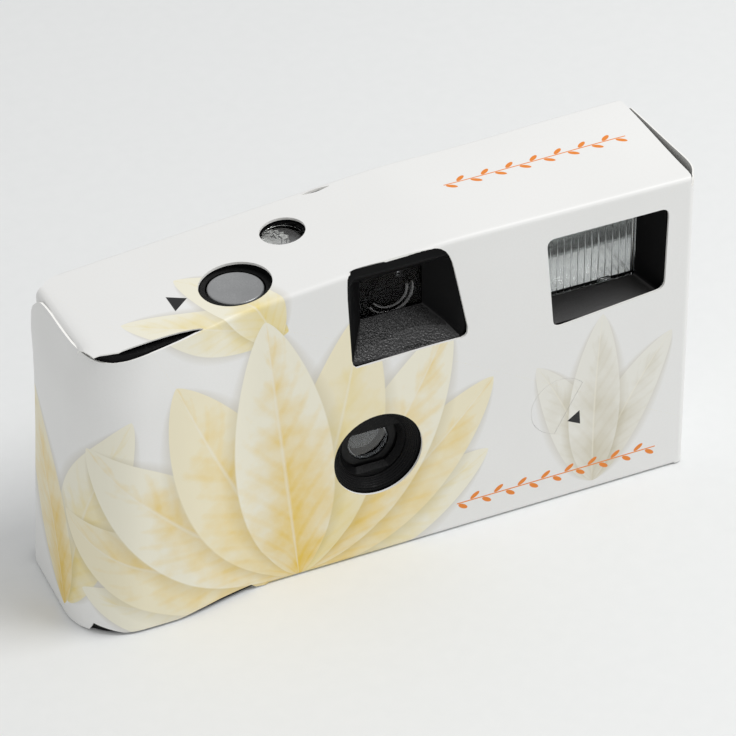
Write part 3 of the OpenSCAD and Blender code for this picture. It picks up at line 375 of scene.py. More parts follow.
# Front and back covers: black impact styrene with a fine sparkle texture. The finder hood and the two
# wells get the lips, ridges and facets that the mould gives them.
case_black = moulding("case_black", (0.0036, 0.0036, 0.0039), 3000.0, 0.38, 0.00022, 0.14)
dress(case_black, "front_cover", "rear_cover")
hood_wall = moulding("hood_wall", (0.003, 0.003, 0.0033), 5200.0, 0.5, 0.00003, 0.1)
hood_floor = moulding("hood_floor", (0.003, 0.003, 0.0033), 2600.0, 0.26, 0.0003, 0.3)
# Painted light: a copy of the hood's black with three times its colour and more shine, for the facet and the
# lip, where the light falls on them.
hood_facet_painted_light = moulding("hood_facet_painted_light", (0.009, 0.009, 0.0095), 2600.0, 0.3, 0.0003, 0.5)
# Satin floor of the flash well: real gloss, and a lighter colour than the walls as painted light.
well_floor = moulding("well_floor", (0.01, 0.0095, 0.0095), 3600.0, 0.36, 0.00004, 0.3)
ring_black = moulding("ring_black", (0.004, 0.004, 0.0043), 9000.0, 0.34, 0.00002, 0.2)


def loft(rings):
    """Points and faces of a closed ring of sections: each quad joins two neighbours on one section
    to the two beside them on the next, and the last section joins the first."""
    rows, across = rings.shape[:2]
    at = np.arange(rows * across).reshape(rows, across)
    beside, after = np.roll(at, -1, 1), np.roll(at, -1, 0)
    return rings.reshape(-1, 3), np.stack([at, beside, np.roll(beside, -1, 0), after], -1).reshape(-1, 4)


def rounded_frame(left, right, low, high, radius, n=28):
    """A rectangle with rounded corners in x and z: each corner a quarter circle about its own centre,
    with n points along each straight side."""
    turn = np.linspace(0, math.pi / 2, 9)
    along = np.linspace(0, 1, n)[1:-1, None]
    path = []
    centres = [(right - radius, low + radius), (right - radius, high - radius),
               (left + radius, high - radius), (left + radius, low + radius)]
    arcs = [np.stack([cx + radius * np.cos(turn + (k - 1) * math.pi / 2),
                      cz + radius * np.sin(turn + (k - 1) * math.pi / 2)], 1)
            for k, (cx, cz) in enumerate(centres)]
    for k, arc in enumerate(arcs):
        after = arcs[(k + 1) % 4]
        path += [arc, arc[-1] + (after[0] - arc[-1]) * along]
    return np.concatenate(path)


def sections(rows, n=28):
    """Rounded frames, one for each row of depth, left, right, low, high and corner radius."""
    return np.stack([np.insert(rounded_frame(*row[1:], n), 1, row[0], axis=1) for row in rows])


# Each row: depth y, left, right, low, high and corner radius of one section of the hood, from the
# flange behind the card, over the lip, down the walls to the finder's frame, and back behind.
hood_rows = np.array([
    [-13.45, -8.6, 16.9, 44.6, 66.6, 2.6], [-13.55, -7.9, 16.2, 44.9, 65.9, 2.4],
    [-13.55, -7.5, 15.9, 45.1, 64.9, 2.0], [-13.40, -7.2, 15.6, 45.8, 64.4, 1.6],
    [-13.00, -6.8, 15.1, 46.2, 63.9, 1.2], [-12.40, -6.3, 14.5, 46.8, 63.3, 0.8],
    [-11.40, -5.6, 13.5, 47.7, 62.6, 0.6], [-10.20, -4.7, 12.3, 48.9, 61.7, 0.5],
    [-9.00, -3.8, 11.1, 50.1, 60.9, 0.45], [-8.05, -3.1, 10.1, 51.0, 60.2, 0.4],
    [-7.95, -2.95, 9.95, 51.15, 60.05, 0.4], [-7.72, -2.95, 9.95, 51.15, 60.05, 0.4],
    [-7.70, -3.05, 10.05, 51.0, 60.2, 0.45], [-9.00, -4.1, 11.4, 49.85, 61.3, 0.6],
    [-11.40, -6.1, 14.0, 47.4, 63.1, 0.9], [-13.20, -7.9, 16.3, 45.5, 65.2, 2.0]])
at_row = np.concatenate([np.arange(3), np.arange(3, 9, 0.125), np.arange(9, 16)])
hood_rows = np.stack([np.interp(at_row, np.arange(16), held) for held in hood_rows.T], 1)
hood = sections(hood_rows, 90)
# The floor's front is a steeper facet, which meets the ramp in a crisp line bent like a low arch.
floor_rows = np.flatnonzero((at_row >= 3) & (at_row <= 9))
floor_columns = np.concatenate([np.arange(294, hood.shape[1]), np.arange(5)])
part = np.linspace(0, 1, len(floor_rows))
for column in floor_columns:
    x, y, z = hood[floor_rows, column].T
    facet = 45.2 + 0.004 * (x - 6.0) ** 2 + 1.2 * (y + 13.4)
    bend = max(np.interp(0.0, facet - z, y), y[0] + 0.05)
    row_y = np.interp(part, [0, 0.4, 1], [y[0], bend, y[-1]])
    hood[floor_rows, column] = np.stack([np.interp(row_y, y, x), row_y,
                                         np.interp(row_y, y, np.minimum(z, facet))], 1)
kind = np.zeros(hood.shape[:2], np.int32)
kind[:, floor_columns[:-1]] = 1
# The facet and the first three rows, the flange and lip, take that lighter copy: painted light.
kind[np.ix_(floor_rows[part < 0.4], floor_columns[:-1])] = 2
kind[np.ix_(range(3), floor_columns[:-1])] = 2
hood_piece = piece("finder_hood", *loft(hood), [hood_wall, hood_floor, hood_facet_painted_light], "camera", "case_black",
                   sharp=12)
hood_piece.data.polygons.foreach_set("material_index", kind.ravel())

# Flash well: the satin floor and the matt walls between the card's window and the flash window. The floor's
# black is also about three times lighter than the walls': painted light where the light falls on it.
well_rows = [[-13.38, 33.1, 58.9, 42.1, 62.3, 1.0], [-8.1, 36.55, 55.45, 44.75, 59.65, 0.6],
             [-8.1, 36.2, 55.8, 44.4, 60.0, 0.6], [-13.38, 32.8, 59.2, 41.8, 62.6, 1.0]]
well = sections(well_rows)
well_piece = piece("flash_well", *loft(well), [hood_wall, well_floor], "camera", "case_black", sharp=24)
column = np.tile(np.arange(well.shape[1]), len(well))
well_piece.data.polygons.foreach_set("material_index", ((column > 109) | (column < 4)).astype(np.int32))


def turned(profile, n, centre, axis):
    """A profile of radius and height, closed, carried once round an axis through centre."""
    turn = np.linspace(0, 2 * math.pi, n, endpoint=False)[:, None]
    radius, height = np.asarray(profile, float).T
    flat = [radius * np.cos(turn), radius * np.sin(turn), np.broadcast_to(height, (n, len(radius)))]
    if axis == "y":
        flat = [flat[0], flat[2], flat[1]]
    return loft(np.stack(flat, -1) + np.asarray(centre, float))


# Lens well: stepped rings that keep stray light off the lens, each with a small rounded top.
lens_axis = (-2.6, 0, 23.6)
steps = np.linspace(0, 1, 61)
wall_line = np.stack([8.45 - 1.35 * steps - 0.12 * np.abs(np.sin(steps * math.pi * 5)),
                      -13.35 + 2.0 * steps], 1)
piece("lens_well_ridges", *turned(np.concatenate([wall_line, [[7.3, -11.3], [8.52, -11.3], [8.52, -13.3]]]),
                                  128, lens_axis, "y"), [case_black], "camera", "case_black", sharp=50)

# Taking lens and its ring: a domed acrylic front that drops into the seat on its stem, hollow behind,
# and the black cap ring that clips over the seat and holds the lens by its rim.
bulge = np.linspace(0.002, 4.2, 24)
hollow = np.linspace(3.8, 0.002, 20)
lens_line = np.concatenate([np.stack([bulge, -9.48 + 0.4 * (bulge / 4.2) ** 2], 1),
                            [[4.2, -8.95], [3.8, -8.95], [3.8, -7.2]],
                            np.stack([hollow, -7.75 + 0.5 * (hollow / 3.8) ** 2], 1)])
lens = piece("lens_front", *turned(lens_line, 128, lens_axis, "y"),
             [clear("taking_lens_acrylic", (0.8, 0.84, 0.88), 0.0, 1.75, 0.02)], "camera", "clear_plastic",
             sharp=40)
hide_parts("taking_lens")
ring_line = [[4.25, -9.4], [4.32, -9.5], [5.95, -9.5], [6.1, -9.35], [6.1, -7.1], [5.35, -7.1],
             [5.35, -8.93], [4.25, -8.93]]
ring = piece("lens_cap_ring", *turned(ring_line, 128, lens_axis, "y"), [ring_black], "camera", "case_black")
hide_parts("lens_ring")

# Flash clip: the small moulded tongue that holds the flash window's lower edge.
clip_row = np.array([[-8.3, 45.2], [-8.75, 45.35], [-8.85, 45.75], [-8.6, 46.0], [-8.1, 46.05], [-8.0, 45.2]])
clip = np.stack([np.insert(clip_row, 0, x, axis=1) for x in (47.3, 47.5, 49.8, 50.0)])
clip[[0, 3], :, 2] = 45.2 + (clip[[0, 3], :, 2] - 45.2) * 0.6
at = np.arange(24).reshape(4, 6)
clip_faces = np.stack([at[:-1], np.roll(at, -1, 1)[:-1], np.roll(at, -1, 1)[1:], at[1:]], -1).reshape(-1, 4)
piece("flash_clip", clip.reshape(-1, 3), clip_faces.tolist() + [at[0].tolist(), at[3].tolist()],
      [clear("clip_acrylic", (0.8, 0.82, 0.83), 0.12)], "camera", "clear_plastic")


# Button cap: a shallow dished disc of satin grey, metallised, with a rounded rim.
cap_grey, tree, shader = new_finish("cap_grey", {"IOR": 1.5, "Coat Roughness": 0.2})
place = put(tree, "TexCoord", out=3)
flake = put(tree, "TexVoronoi", {"Vector": place, "Scale": 5200.0}, out=1)
cloud = noise(tree, 320.0, 4.0, place)
glint = put(tree, "RGBToBW", flake)
cover(tree, shader, {
    "Base Color": put(tree, "MixRGB", calc(tree, "MULTIPLY", glint, cloud), (0.25, 0.255, 0.26, 1.0),
                      (0.42, 0.425, 0.43, 1.0)),
    "Roughness": ramp(tree, cloud, 0.3, 0.7, 0.32, 0.46), "Metallic": ramp(tree, glint, 0.2, 0.8, 0.25, 0.5),
    "Coat Weight": ramp(tree, cloud, 0.3, 0.7, 0.1, 0.25)})
button_axis = (-26.6, -5.35, 0)
cap_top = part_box("button_cap")[1].z * 1000
rim = np.linspace(0, math.pi / 2, 9)
dish = np.linspace(4.75, 0.002, 14)
cap_line = np.concatenate([
    [[0.002, cap_top - 1.1], [5.3, cap_top - 1.1]],
    np.stack([4.95 + 0.35 * np.cos(rim), cap_top - 0.35 + 0.35 * np.sin(rim)], 1),
    np.stack([dish, cap_top - 0.3 + 0.28 * (dish / 4.75) ** 2], 1)])
cap = piece("cap_disc", *turned(cap_line, 128, button_axis, "z"), [cap_grey], "button", "button_grey")
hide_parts("button_cap")


# Card sleeve: one blank of printed white board, half a millimetre thick, die-cut with its windows,
# folded round the case and glued under the base. Flat coordinates are s along the blank and v across
# it: v runs up the front to the top fold, over the top to the back fold and down the back to the base.
top_fold, back_fold, base_fold = 68, 98.6, 166.6
top_deep, back_y, flash_edge = 30.6, 16.35, 63.4


def ease(u):
    """Smooth step from 0 to 1: three squares less two cubes."""
    u = np.clip(u, 0, 1)
    return u * u * (3 - 2 * u)


def roof(x):
    """Height of the top panel: level, then falling to the grip from a soft crease at x = 12."""
    return 68 - 6.4 / 70 * 2 * np.logaddexp(0, (12 - x) / 2)


def grip_lean(z):
    """How far the grip end leans in and back at height z: slowly up to the shoulder, then faster."""
    over = np.logaddexp(0, z - 51.05)
    return 0.0725 * z + 0.2034 * over, 0.0098 * z + 0.0949 * over


def face(x, z):
    """Depth of the front: flat at the flash end, a smooth step out to the grip, less the grip's lean."""
    out = 3.1 * (1 - ease((x + 48) / 22))
    grip = 3.1 - grip_lean(z)[1]
    return -14.25 + 0.25 * np.logaddexp(-out / 0.25, -grip / 0.25)


def crease(d, radius):
    """A right-angled fold: d is the distance past it. Gives the way left along the first panel and the
    way gone along the second, which meet in a quarter circle."""
    turn = np.clip((d + radius) / (2 * radius), 0, 1) * math.pi / 2
    return (np.where(d < -radius, d, radius * np.sin(turn) - radius),
            np.where(d > radius, d, radius - radius * np.cos(turn)))


def end_bow(along):
    """How the flash end stands off, from 0 to 1: most just behind its front edge, then less to the back."""
    u = np.clip(along / 27, 0, 1)
    return (1 - u) * (1 - np.exp(-u / 0.06))


def folded(s, v):
    """Where the point s, v of the flat blank lies on the folded sleeve, on its printed side."""
    side = np.maximum(s, -58.0)
    top = roof(side)
    depth = back_y - face(side, top)
    # Front and both ends, with the fold to the top panel.
    over = np.where(v < top_fold, (v - top_fold) * top / top_fold, (v - top_fold) * depth / top_deep)
    along, across = crease(over, 0.3 + 0.6 * ease((s + 38) / 10))
    z = np.where(s > 64.6, v * top / top_fold, top + along)
    lean, _ = grip_lean(z)
    start = -53 + lean
    round_grip = np.clip((start - s) / 12, 0, math.pi / 2)
    along_end = np.maximum(start - 6 * math.pi - s, 0)
    round_edge = np.clip((s - flash_edge) / 1.6, 0, math.pi / 2)
    along_flash_end = np.maximum(s - flash_edge - 0.8 * math.pi, 0)
    x = np.where(s < start, start - 12 * np.sin(round_grip),
                 np.minimum(s, flash_edge) + 1.6 * np.sin(round_edge))
    y = (face(np.maximum(s, start), z) + 12 * (1 - np.cos(round_grip)) + along_end
         + 1.6 * (1 - np.cos(round_edge)) + along_flash_end
         + across * ease((s + 40) / 6) * ease((65 - s) / 1.5))
    # The ends bow a little, and the free edges at their tops stand off.
    x = x - 0.4 * np.sin(np.clip(along_end / 17, 0, 1) * math.pi) * ease(z / 30) * ease((66 - z) / 12)
    x = x - 0.3 * ease((z - 56.5) / 4) * ease((-s - 60) / 6)
    x = x - 1.1 * ease((z - 49) / 9) * ease((along_end - 7) / 10)
    x = x + 1.3 * end_bow(along_flash_end) * ease((z - 20) / 48)
    z = z + 1.3 * ease((along_flash_end - 2) / 28) * ease((z - 40) / 28)
    front = np.stack([x, y, z], -1)
    # Top panel's front half, with the flap that folds down inside the grip end.
    fold = -57.0 + 0.75 * ease((v - 71.5) / 5) - 1.1 * np.clip((v - 70.8) / 23.8, 0, 1.15)
    past, down, curl = np.maximum(fold - s, 0), math.radians(82), 2.0
    bend, straight = np.minimum(past / curl, down), np.maximum(past - curl * down, 0)
    flap_x = np.maximum(s, fold) - curl * np.sin(bend) - straight * math.cos(down)
    flap_z = curl * (1 - np.cos(bend)) + straight * math.sin(down)
    flat_top = roof(np.maximum(s, -57.6))
    upper = np.stack([flap_x, face(side, top) + across, flat_top + along - flap_z], -1)
    # Top panel's back half, the back and its side flaps.
    over = np.where(v < back_fold, (v - back_fold) * depth / top_deep, (v - back_fold) * top / top_fold)
    along, across = crease(over, 1.1)
    under, below = crease((v - base_fold) * top / top_fold, 0.6)
    z_back = np.where(v < 132, flat_top - across, 0.52 * ease(below / 3) - under)
    lean, _ = grip_lean(z_back)
    start = -60 + lean
    round_back = np.clip((start - s) / 5, 0, math.pi / 2)
    along_back = np.maximum(start - 2.5 * math.pi - s, 0)
    tucked = 4.5
    on_top = v < back_fold
    x_back = np.where(s < start, start - tucked * np.sin(round_back),
                      np.minimum(s, flash_edge) + 1.1 * np.sin(round_edge))
    y_back = np.where(v < 132, back_y + along, back_y - below)
    y_back = y_back - np.where(on_top, 0, 5 * (1 - np.cos(round_back)) + along_back
                               + 1.6 * (1 - np.cos(round_edge)) + along_flash_end)
    back = np.stack([np.where(on_top, flap_x, x_back), y_back, z_back - np.where(on_top, flap_z, 0)], -1)
    # Base panel under the front.
    along, across = crease(-v, 0.7)
    base = np.stack([s, face(s, 0) + across, np.maximum(-along, 0)], -1)
    near_base = (v < 8) & (s > -27) & (s < 63)
    lower = np.stack([x, y + across, -along], -1)
    result = np.where(((v > top_fold) & (s < 65))[..., None], upper, front)
    result = np.where((v > 83)[..., None], back, np.where(near_base[..., None], lower, result))
    result = np.where((v < 0)[..., None], base, result)
    # Board is never quite flat: slow waves of a few hundredths of a millimetre.
    wave = 0.05 * np.sin(s * 0.13 + 0.4 * np.sin(v * 0.11)) * np.sin(v * 0.17 + 1)
    on_front_panel = ease((v - 2) / 8) * ease((66 - v) / 8) * ease((s + 60) / 8) * ease((62 - s) / 8)
    on_top_panel = ease((v - 70) / 8) * ease((97 - v) / 8) * ease((s + 56) / 8) * ease((62 - s) / 8)
    result[..., 1] += (wave - 0.06) * on_front_panel
    result[..., 2] += (wave + 0.05) * on_top_panel
    # The top's back edge stands up a little at the flash end.
    rise = 1.3 * ease((s - 20) / 45) * ease((v - 70) / 28) * np.where(v > back_fold, ease((166 - v) / 60), 1)
    result[..., 2] += np.where(s < 66, rise, 0)
    return result


def on_front(x, z):
    """Flat coordinates of a point of the front or an end, s given as x."""
    x, z = np.asarray(x, float), np.asarray(z, float)
    return np.stack([x, top_fold * z / roof(np.maximum(x, -58.0))], -1)


def on_roof(x, y):
    """Flat coordinates of a point of the top panel."""
    x, y = np.asarray(x, float), np.asarray(y, float)
    front = face(np.maximum(x, -58.0), roof(np.maximum(x, -58.0)))
    return np.stack([x, top_fold + top_deep * (y - front) / (back_y - front)], -1)


def on_back(x, z):
    """Flat coordinates of a point of the back."""
    x, z = np.asarray(x, float), np.asarray(z, float)
    return np.stack([x, back_fold + top_fold * (1 - z / roof(np.maximum(x, -57.6)))], -1)


def fine(points, step=0.45):
    """The closed line through points, with more points so that none is further than step apart."""
    points = np.asarray(points, float)
    after = np.roll(points, -1, 0)
    parts = np.maximum(1, np.ceil(np.linalg.norm(after - points, axis=1) / step)).astype(int)
    return np.concatenate([a + (b - a) * np.linspace(0, 1, n, endpoint=False)[:, None]
                           for a, b, n in zip(points, after, parts)])


def soft_corners(points, radius, n=7):
    """A polygon with each corner rounded: a curve from radius before it to radius after it that
    is drawn towards the corner, by the square law of a Bezier curve."""
    points = np.asarray(points, float)
    before, after = np.roll(points, 1, 0) - points, np.roll(points, -1, 0) - points
    ins = points + before / np.linalg.norm(before, axis=1)[:, None] * radius
    outs = points + after / np.linalg.norm(after, axis=1)[:, None] * radius
    u = np.linspace(0, 1, n)[:, None, None]
    return ((1 - u) ** 2 * ins + 2 * u * (1 - u) * points + u ** 2 * outs).transpose(1, 0, 2).reshape(-1, 2)


def circle(cx, cy, radius, n=96):
    """A circle about cx, cy."""
    turn = np.linspace(0, 2 * math.pi, n, endpoint=False)
    return np.stack([cx + radius * np.cos(turn), cy + radius * np.sin(turn)], -1)


# Outline of the blank, from the grip end's foot round by the base panel, the flash end, the top, the
# back with its flaps, and the slit along the grip's top edge.
foot = np.linspace(-88.9, -27.5, 120)
foot_lift = np.interp(foot, [-88, -66, -63.8, -63.3, -60.5, -57.0, -46, -42, -37, -30, -29.2, -27.5],
                      [0.15, 0.15, 0.3, 2.3, 1.5, 0.45, 0.4, 0.95, 1.3, 1.3, 0.4, 0.05])
base_front = np.linspace(-27.5, -52, 30)
base_back = np.linspace(-58, 61.5, 60)
end_top = np.linspace(91, 66.4, 26)
end_flap = [[-58.2, 95.9], [-59.2, 95.6], [-64.0, 93.6], [-64.8, 91.8], [-64.8, 79.0], [-63.5, 77.0],
            [-58.6, 75.6], [-57.9, 74.2], [-57.4, 72.6]]
slit_above = [[-57.0, 71.2], [-56.3, 71.25], [-55.7, 71.2], [-54.4, 70.75], [-53.5, 70.5], [-52.6, 70.2],
              [-51.8, 70.35],
              [-50.0, 70.35], [-47.9, 70.3], [-45.9, 70.25], [-43.3, 70.1], [-40.8, 69.8], [-38.4, 69.25],
              [-37.3, 68.85], [-36.7, 68.4]]
slit_below = [[-37.0, 68.15], [-38.2, 67.85], [-39.4, 67.65], [-41.5, 67.38], [-44.1, 67.13],
              [-46.7, 66.93], [-49.25, 66.6],
              [-51.7, 66.2], [-54.4, 65.93], [-56.8, 66.05], [-58.0, 66.25], [-59.6, 66.5], [-61.1, 66.8],
              [-62.8, 67.15], [-64.9, 67.35], [-67.9, 67.25], [-70.5, 67.2], [-73.1, 67.2], [-75.3, 67.4],
              [-77.1, 67.55], [-78.5, 67.5], [-79.6, 67.0], [-80.6, 66.3]]
end_edge = [[-81.9, 65.2], [-82.8, 63.9], [-83.2, 62.4], [-83.8, 59.4], [-84.2, 56.0], [-84.0, 51.0],
            [-84.0, 45.0],
            [-84.8, 35.7], [-86.3, 24.8], [-87.6, 13.9], [-88.8, 4.2], [-89.1, 1.4]]
outline = np.concatenate([
    np.stack([foot, foot_lift], 1), [[-27.0, 0.0], [-27.2, -0.5]],
    np.stack([base_front, face(base_front, 0) + 13.6], 1),
    [[-57, -5.5], [-61.3, -10], [-63.2, -16], [-63.2, -26], [-61.2, -30.5]],
    np.stack([base_back, face(base_back, 0) - 15.4], 1),
    [[62.9, -28.3], [63.3, -26], [63.3, -3], [62.9, -1.2], [62.6, -0.2], [63.1, 0.12], [92.2, 0.3],
     [92.6, 0.8],
     [92.6, 66.2], [91.8, 67.2]],
    np.stack([end_top, 67.7 + 0.8 * end_bow(end_top - 65.9)], 1),
    [[65.6, 67.3], [64.8, 66.5], [64.2, 65.8], [63.8, 66.2], [63.75, 67.4], [64.1, 69.0], [64.25, 70.5],
     [64.25, 97.0], [63.9, 98.3], [63.9, 99.2], [66.3, 100.4], [71.6, 101.5], [72.4, 103], [72.4, 162],
     [71.6, 163.4], [66.3, 164.8], [63.6, 166.3], [63.2, 167], [61.5, 178], [-55.5, 178], [-58.6, 167.3],
     [-60.3, 166.2], [-62.5, 164.8], [-73.8, 162.8], [-74.8, 161], [-73.2, 118], [-70.8, 108], [-67.4, 103.6],
     [-57.2, 101.4], [-54.4, 100.0], [-53.6, 98.9]],
    on_roof([-53.9, -55.4, -56.8, -57.6], [16.0, 15.4, 14.6, 13.6]), end_flap, slit_above, slit_below,
    end_edge])

tab_turn, tab_x, tab_z = math.radians(-29.5), 36.5, 22.8


def tongue(radius, chord):
    """Most of a disc: the arc that leaves out the segment beyond a chord, whose middle lies towards
    the tab's hinge."""
    open_half = math.acos(chord / radius)
    turn = np.linspace(tab_turn + open_half, tab_turn + 2 * math.pi - open_half, 70)
    return np.stack([tab_x + radius * np.cos(turn), tab_z + radius * np.sin(turn)], -1)


finder_window = [[-6.6, 46.25], [15.2, 45.4], [15.95, 45.7], [16.37, 46.25], [16.48, 47.6], [13.71, 61.57],
                 [13.32, 63.23], [12.83, 64.59], [12.02, 65.94], [11.0, 66.85], [10.0, 67.4], [8.82, 67.72],
                 [7.25, 67.98], [4.89, 68.26], [2.92, 68.45], [-0.02, 68.73], [-3.27, 69.04], [-4.88, 69.18],
                 [-6.07, 69.23], [-6.89, 68.9], [-7.54, 68.17], [-7.94, 67.07], [-8.02, 65.29],
                 [-8.04, 62.57],
                 [-7.54, 48.3], [-7.27, 47.0]]
windows = [
    np.array(finder_window),
    soft_corners([[34.7, 41.8], [58.9, 44.1], [59.2, 62.4], [33.0, 62.3]], 1.9),
    on_front(*circle(lens_axis[0], lens_axis[2], 9.25).T),
    tongue(6.4, 2.14), on_roof(*circle(*button_axis[:2], 6.9).T),
    on_roof(*circle(-12.6, 5.6, 4.4).T),
    np.stack([np.concatenate([np.linspace(-4.9, 1.1, 12), np.linspace(1.1, -4.9, 12)[1:-1]]),
              97.0 + np.concatenate([-0.5 * np.sin(np.linspace(0, math.pi, 12)),
                                     0.45 * np.sin(np.linspace(0, math.pi, 12))[1:-1]])], -1),
    on_back(*soft_corners([[-55.0, 44.1], [-31.0, 44.1], [-31.0, 52.3], [-55.0, 52.3]], 3.0).T)[::-1],
    on_back(*soft_corners([[-2.5, 50.3], [9.5, 50.3], [9.5, 60.3], [-2.5, 60.3]], 1.5).T)[::-1],
    on_back(*circle(16.5, 46, 2.4).T)[::-1]]


def inside(points, line):
    """Even-odd rule: a point is inside where a ray along s crosses the closed line an odd number of times."""
    (px, py), (ax, ay) = points.T[..., None], line.T
    bx, by = np.roll(line, -1, 0).T
    crossing = ((ay > py) != (by > py)) & (px < (bx - ax) * (py - ay) / (by - ay + 1e-12) + ax)
    return crossing.sum(1) % 2 == 1


def on_board(points, lines):
    """Which points lie on the board: inside the first line and outside the others."""
    keep = inside(points, lines[0])
    for line in lines[1:]:
        keep &= ~inside(points, line)
    return keep


def cut_board(lines, columns, rows, gap=0.4):
    """Triangles of flat board inside the first line and outside the others: a Delaunay net through the
    lines' points and the points of a grid that keep clear of the lines."""
    grid = np.stack(np.meshgrid(columns, rows, indexing="ij"), -1).reshape(-1, 2)
    lines = [fine(line) for line in lines]
    border = np.concatenate(lines)
    grid = grid[on_board(grid, lines)]
    near = np.full(len(grid), 1e9)
    for part in np.array_split(border, 12):
        near = np.minimum(near, ((grid[:, None] - part[None]) ** 2).sum(-1).min(1))
    grid = grid[near > gap ** 2]
    edges, first = [], 0
    for line in lines:
        run = np.arange(first, first + len(line))
        edges.append(np.stack([run, np.roll(run, -1)], -1))
        first += len(line)
    net = delaunay_2d_cdt(np.concatenate([border, grid]).tolist(), np.concatenate(edges).tolist(), [], 0,
                          1e-6)
    points, triangles = np.array([p[:] for p in net[0]]), np.array(net[2])
    triangles = triangles[on_board(points[triangles].mean(1), lines)]
    used, triangles = np.unique(triangles, return_inverse=True)
    triangles, points = triangles.reshape(-1, 3), points[used]
    a, b, c = points[triangles].transpose(1, 0, 2)
    turned_over = (b[:, 0] - a[:, 0]) * (c[:, 1] - a[:, 1]) - (b[:, 1] - a[:, 1]) * (c[:, 0] - a[:, 0]) < 0
    triangles[turned_over] = triangles[turned_over][:, ::-1]
    return points, triangles


def board_piece(name, flat, triangles, body):
    """Folds flat board and gives it its thickness: the printed side, the grey side half a millimetre
    within it, or less on the pressed flaps, and the cut edge that joins them. Each side has half of the
    UV square."""
    s, v = flat.T
    flap = (((v > 69) & (v < 98) & (s < -58)) | ((v > 99) & ((s > 65) | (s < -64))) | (v > 167.2)
            | ((s > 65.5) & (v > 50)))
    thick = np.where(flap | ((v > 68.3) & (v < 74) & (s < -36)), 0.28, 0.5)[:, None]
    printed = folded(s, v)
    a, b, c = printed[triangles].transpose(1, 0, 2)
    across = np.cross(b - a, c - a)
    normal = np.zeros_like(printed)
    for k in range(3):
        np.add.at(normal, triangles[:, k], across)
    normal /= np.linalg.norm(normal, axis=1)[:, None]
    n = len(flat)
    sides = np.concatenate([triangles[:, [0, 1]], triangles[:, [1, 2]], triangles[:, [2, 0]]])
    _, index, times = np.unique(np.sort(sides, 1), axis=0, return_index=True, return_counts=True)
    cut = sides[index[times == 1]]
    edge = np.stack([cut[:, 1], cut[:, 0], cut[:, 0] + n, cut[:, 1] + n], -1)
    faces = triangles.tolist() + (triangles[:, ::-1] + n).tolist() + edge.tolist()
    made_board = piece(name, np.concatenate([printed, printed - normal * thick]), faces,
                       [card_print, card_inside, card_edge], body, "card", sharp=50, recalculated=False)
    mesh = made_board.data
    mesh.polygons.foreach_set("material_index",
                              np.repeat([0, 1, 2], [len(triangles), len(triangles), len(edge)]))
    square = np.stack([(flat[:, 0] + 100) / 210, (flat[:, 1] + 40) / 460], -1)
    square = np.concatenate([square, square + [0, 0.5]])
    corner = np.zeros(len(mesh.loops), np.int32)
    mesh.loops.foreach_get("vertex_index", corner)
    mesh.uv_layers.new(name="flat").data.foreach_set("uv", square[corner].astype(np.float32).ravel())
    return made_board


# Printing: the blank's own flat coordinates, in millimetres, from its UV map.
flat_place, given, made = effect("flat_place", [], [("Flat", "Vector")])
square = put(flat_place, "UVMap", uv_map="flat")
flat_place.links.new(put(flat_place, "VectorMath", put(flat_place, "VectorMath", square, (210.0, 460.0, 0.0),
                                                       operation="MULTIPLY"), (100.0, 40.0, 0.0),
                         operation="SUBTRACT"), made["Flat"])


def mark_place(tree, given, start):
    """A printed mark's own coordinates: the flat place from its start, turned back by its angle."""
    moved = put(tree, "VectorMath", given["Flat"], given[start], operation="SUBTRACT")
    turned_back = put(tree, "VectorRotate", {
        "Vector": moved, "Angle": calc(tree, "MULTIPLY", given["Angle"], -1.0)}, rotation_type="Z_AXIS")
    return put(tree, "SeparateXYZ", turned_back, out=None)


# One printed leaf, laid over the colour under it: along its middle line it runs from 0 to 1, and its
# half width follows a power of a parabola. It is deep at its foot, pale at its rim, with a light
# midrib, faint side veins, a darker half and a soft shadow round it.
leaf, given, made = effect(
    "printed_leaf", [("Under", "Color"), ("Flat", "Vector"), ("Foot", "Vector"), ("Angle", "Float"),
                     ("Length", "Float"), ("Width", "Float"), ("Bend", "Float"), ("Pale", "Color"),
                     ("Deep", "Color")], [("Colour", "Color")])
local = mark_place(leaf, given, "Foot")
along = calc(leaf, "DIVIDE", local[0], given["Length"])
hump = calc(leaf, "MULTIPLY", calc(leaf, "MULTIPLY", along, 4.0), calc(leaf, "SUBTRACT", 1.0, along))
hump = calc(leaf, "MAXIMUM", hump, 0.0)
spread = calc(leaf, "MULTIPLY", calc(leaf, "POWER", hump, 0.72), calc(leaf, "SUBTRACT", 1.2, calc(
    leaf, "MULTIPLY", along, 0.42)))
across = calc(leaf, "SUBTRACT", calc(leaf, "DIVIDE", local[1], given["Width"]),
              calc(leaf, "MULTIPLY", hump, given["Bend"]))
across = calc(leaf, "DIVIDE", across, calc(leaf, "MAXIMUM", spread, 0.0005))
off = calc(leaf, "ABSOLUTE", across)
body_mask = ramp(leaf, off, 0.985, 1.02, 1.0, 0.0)
rib = ramp(leaf, off, 0.0, 0.055, 0.55, 0.0)
veins = calc(leaf, "SINE", calc(leaf, "MULTIPLY", calc(leaf, "SUBTRACT", along, calc(
    leaf, "MULTIPLY", off, 0.2)), 62.0))
mottle = noise(leaf, 0.16, 3.0, given["Flat"])
light = calc(leaf, "ADD", calc(leaf, "MULTIPLY", along, 0.75), calc(leaf, "MULTIPLY", off, 0.4))
light = calc(leaf, "ADD", light, ramp(leaf, veins, 0.2, 1.0, 0.0, -0.1))
light = calc(leaf, "ADD", light, ramp(leaf, mottle, 0.3, 0.7, -0.22, 0.2))
light = calc(leaf, "ADD", light, ramp(leaf, across, -0.02, 0.02, 0.0, 0.16))
leaf_colour = put(leaf, "MixRGB", ramp(leaf, light, 0.02, 0.85, 0.0, 1.0), given["Deep"], given["Pale"])
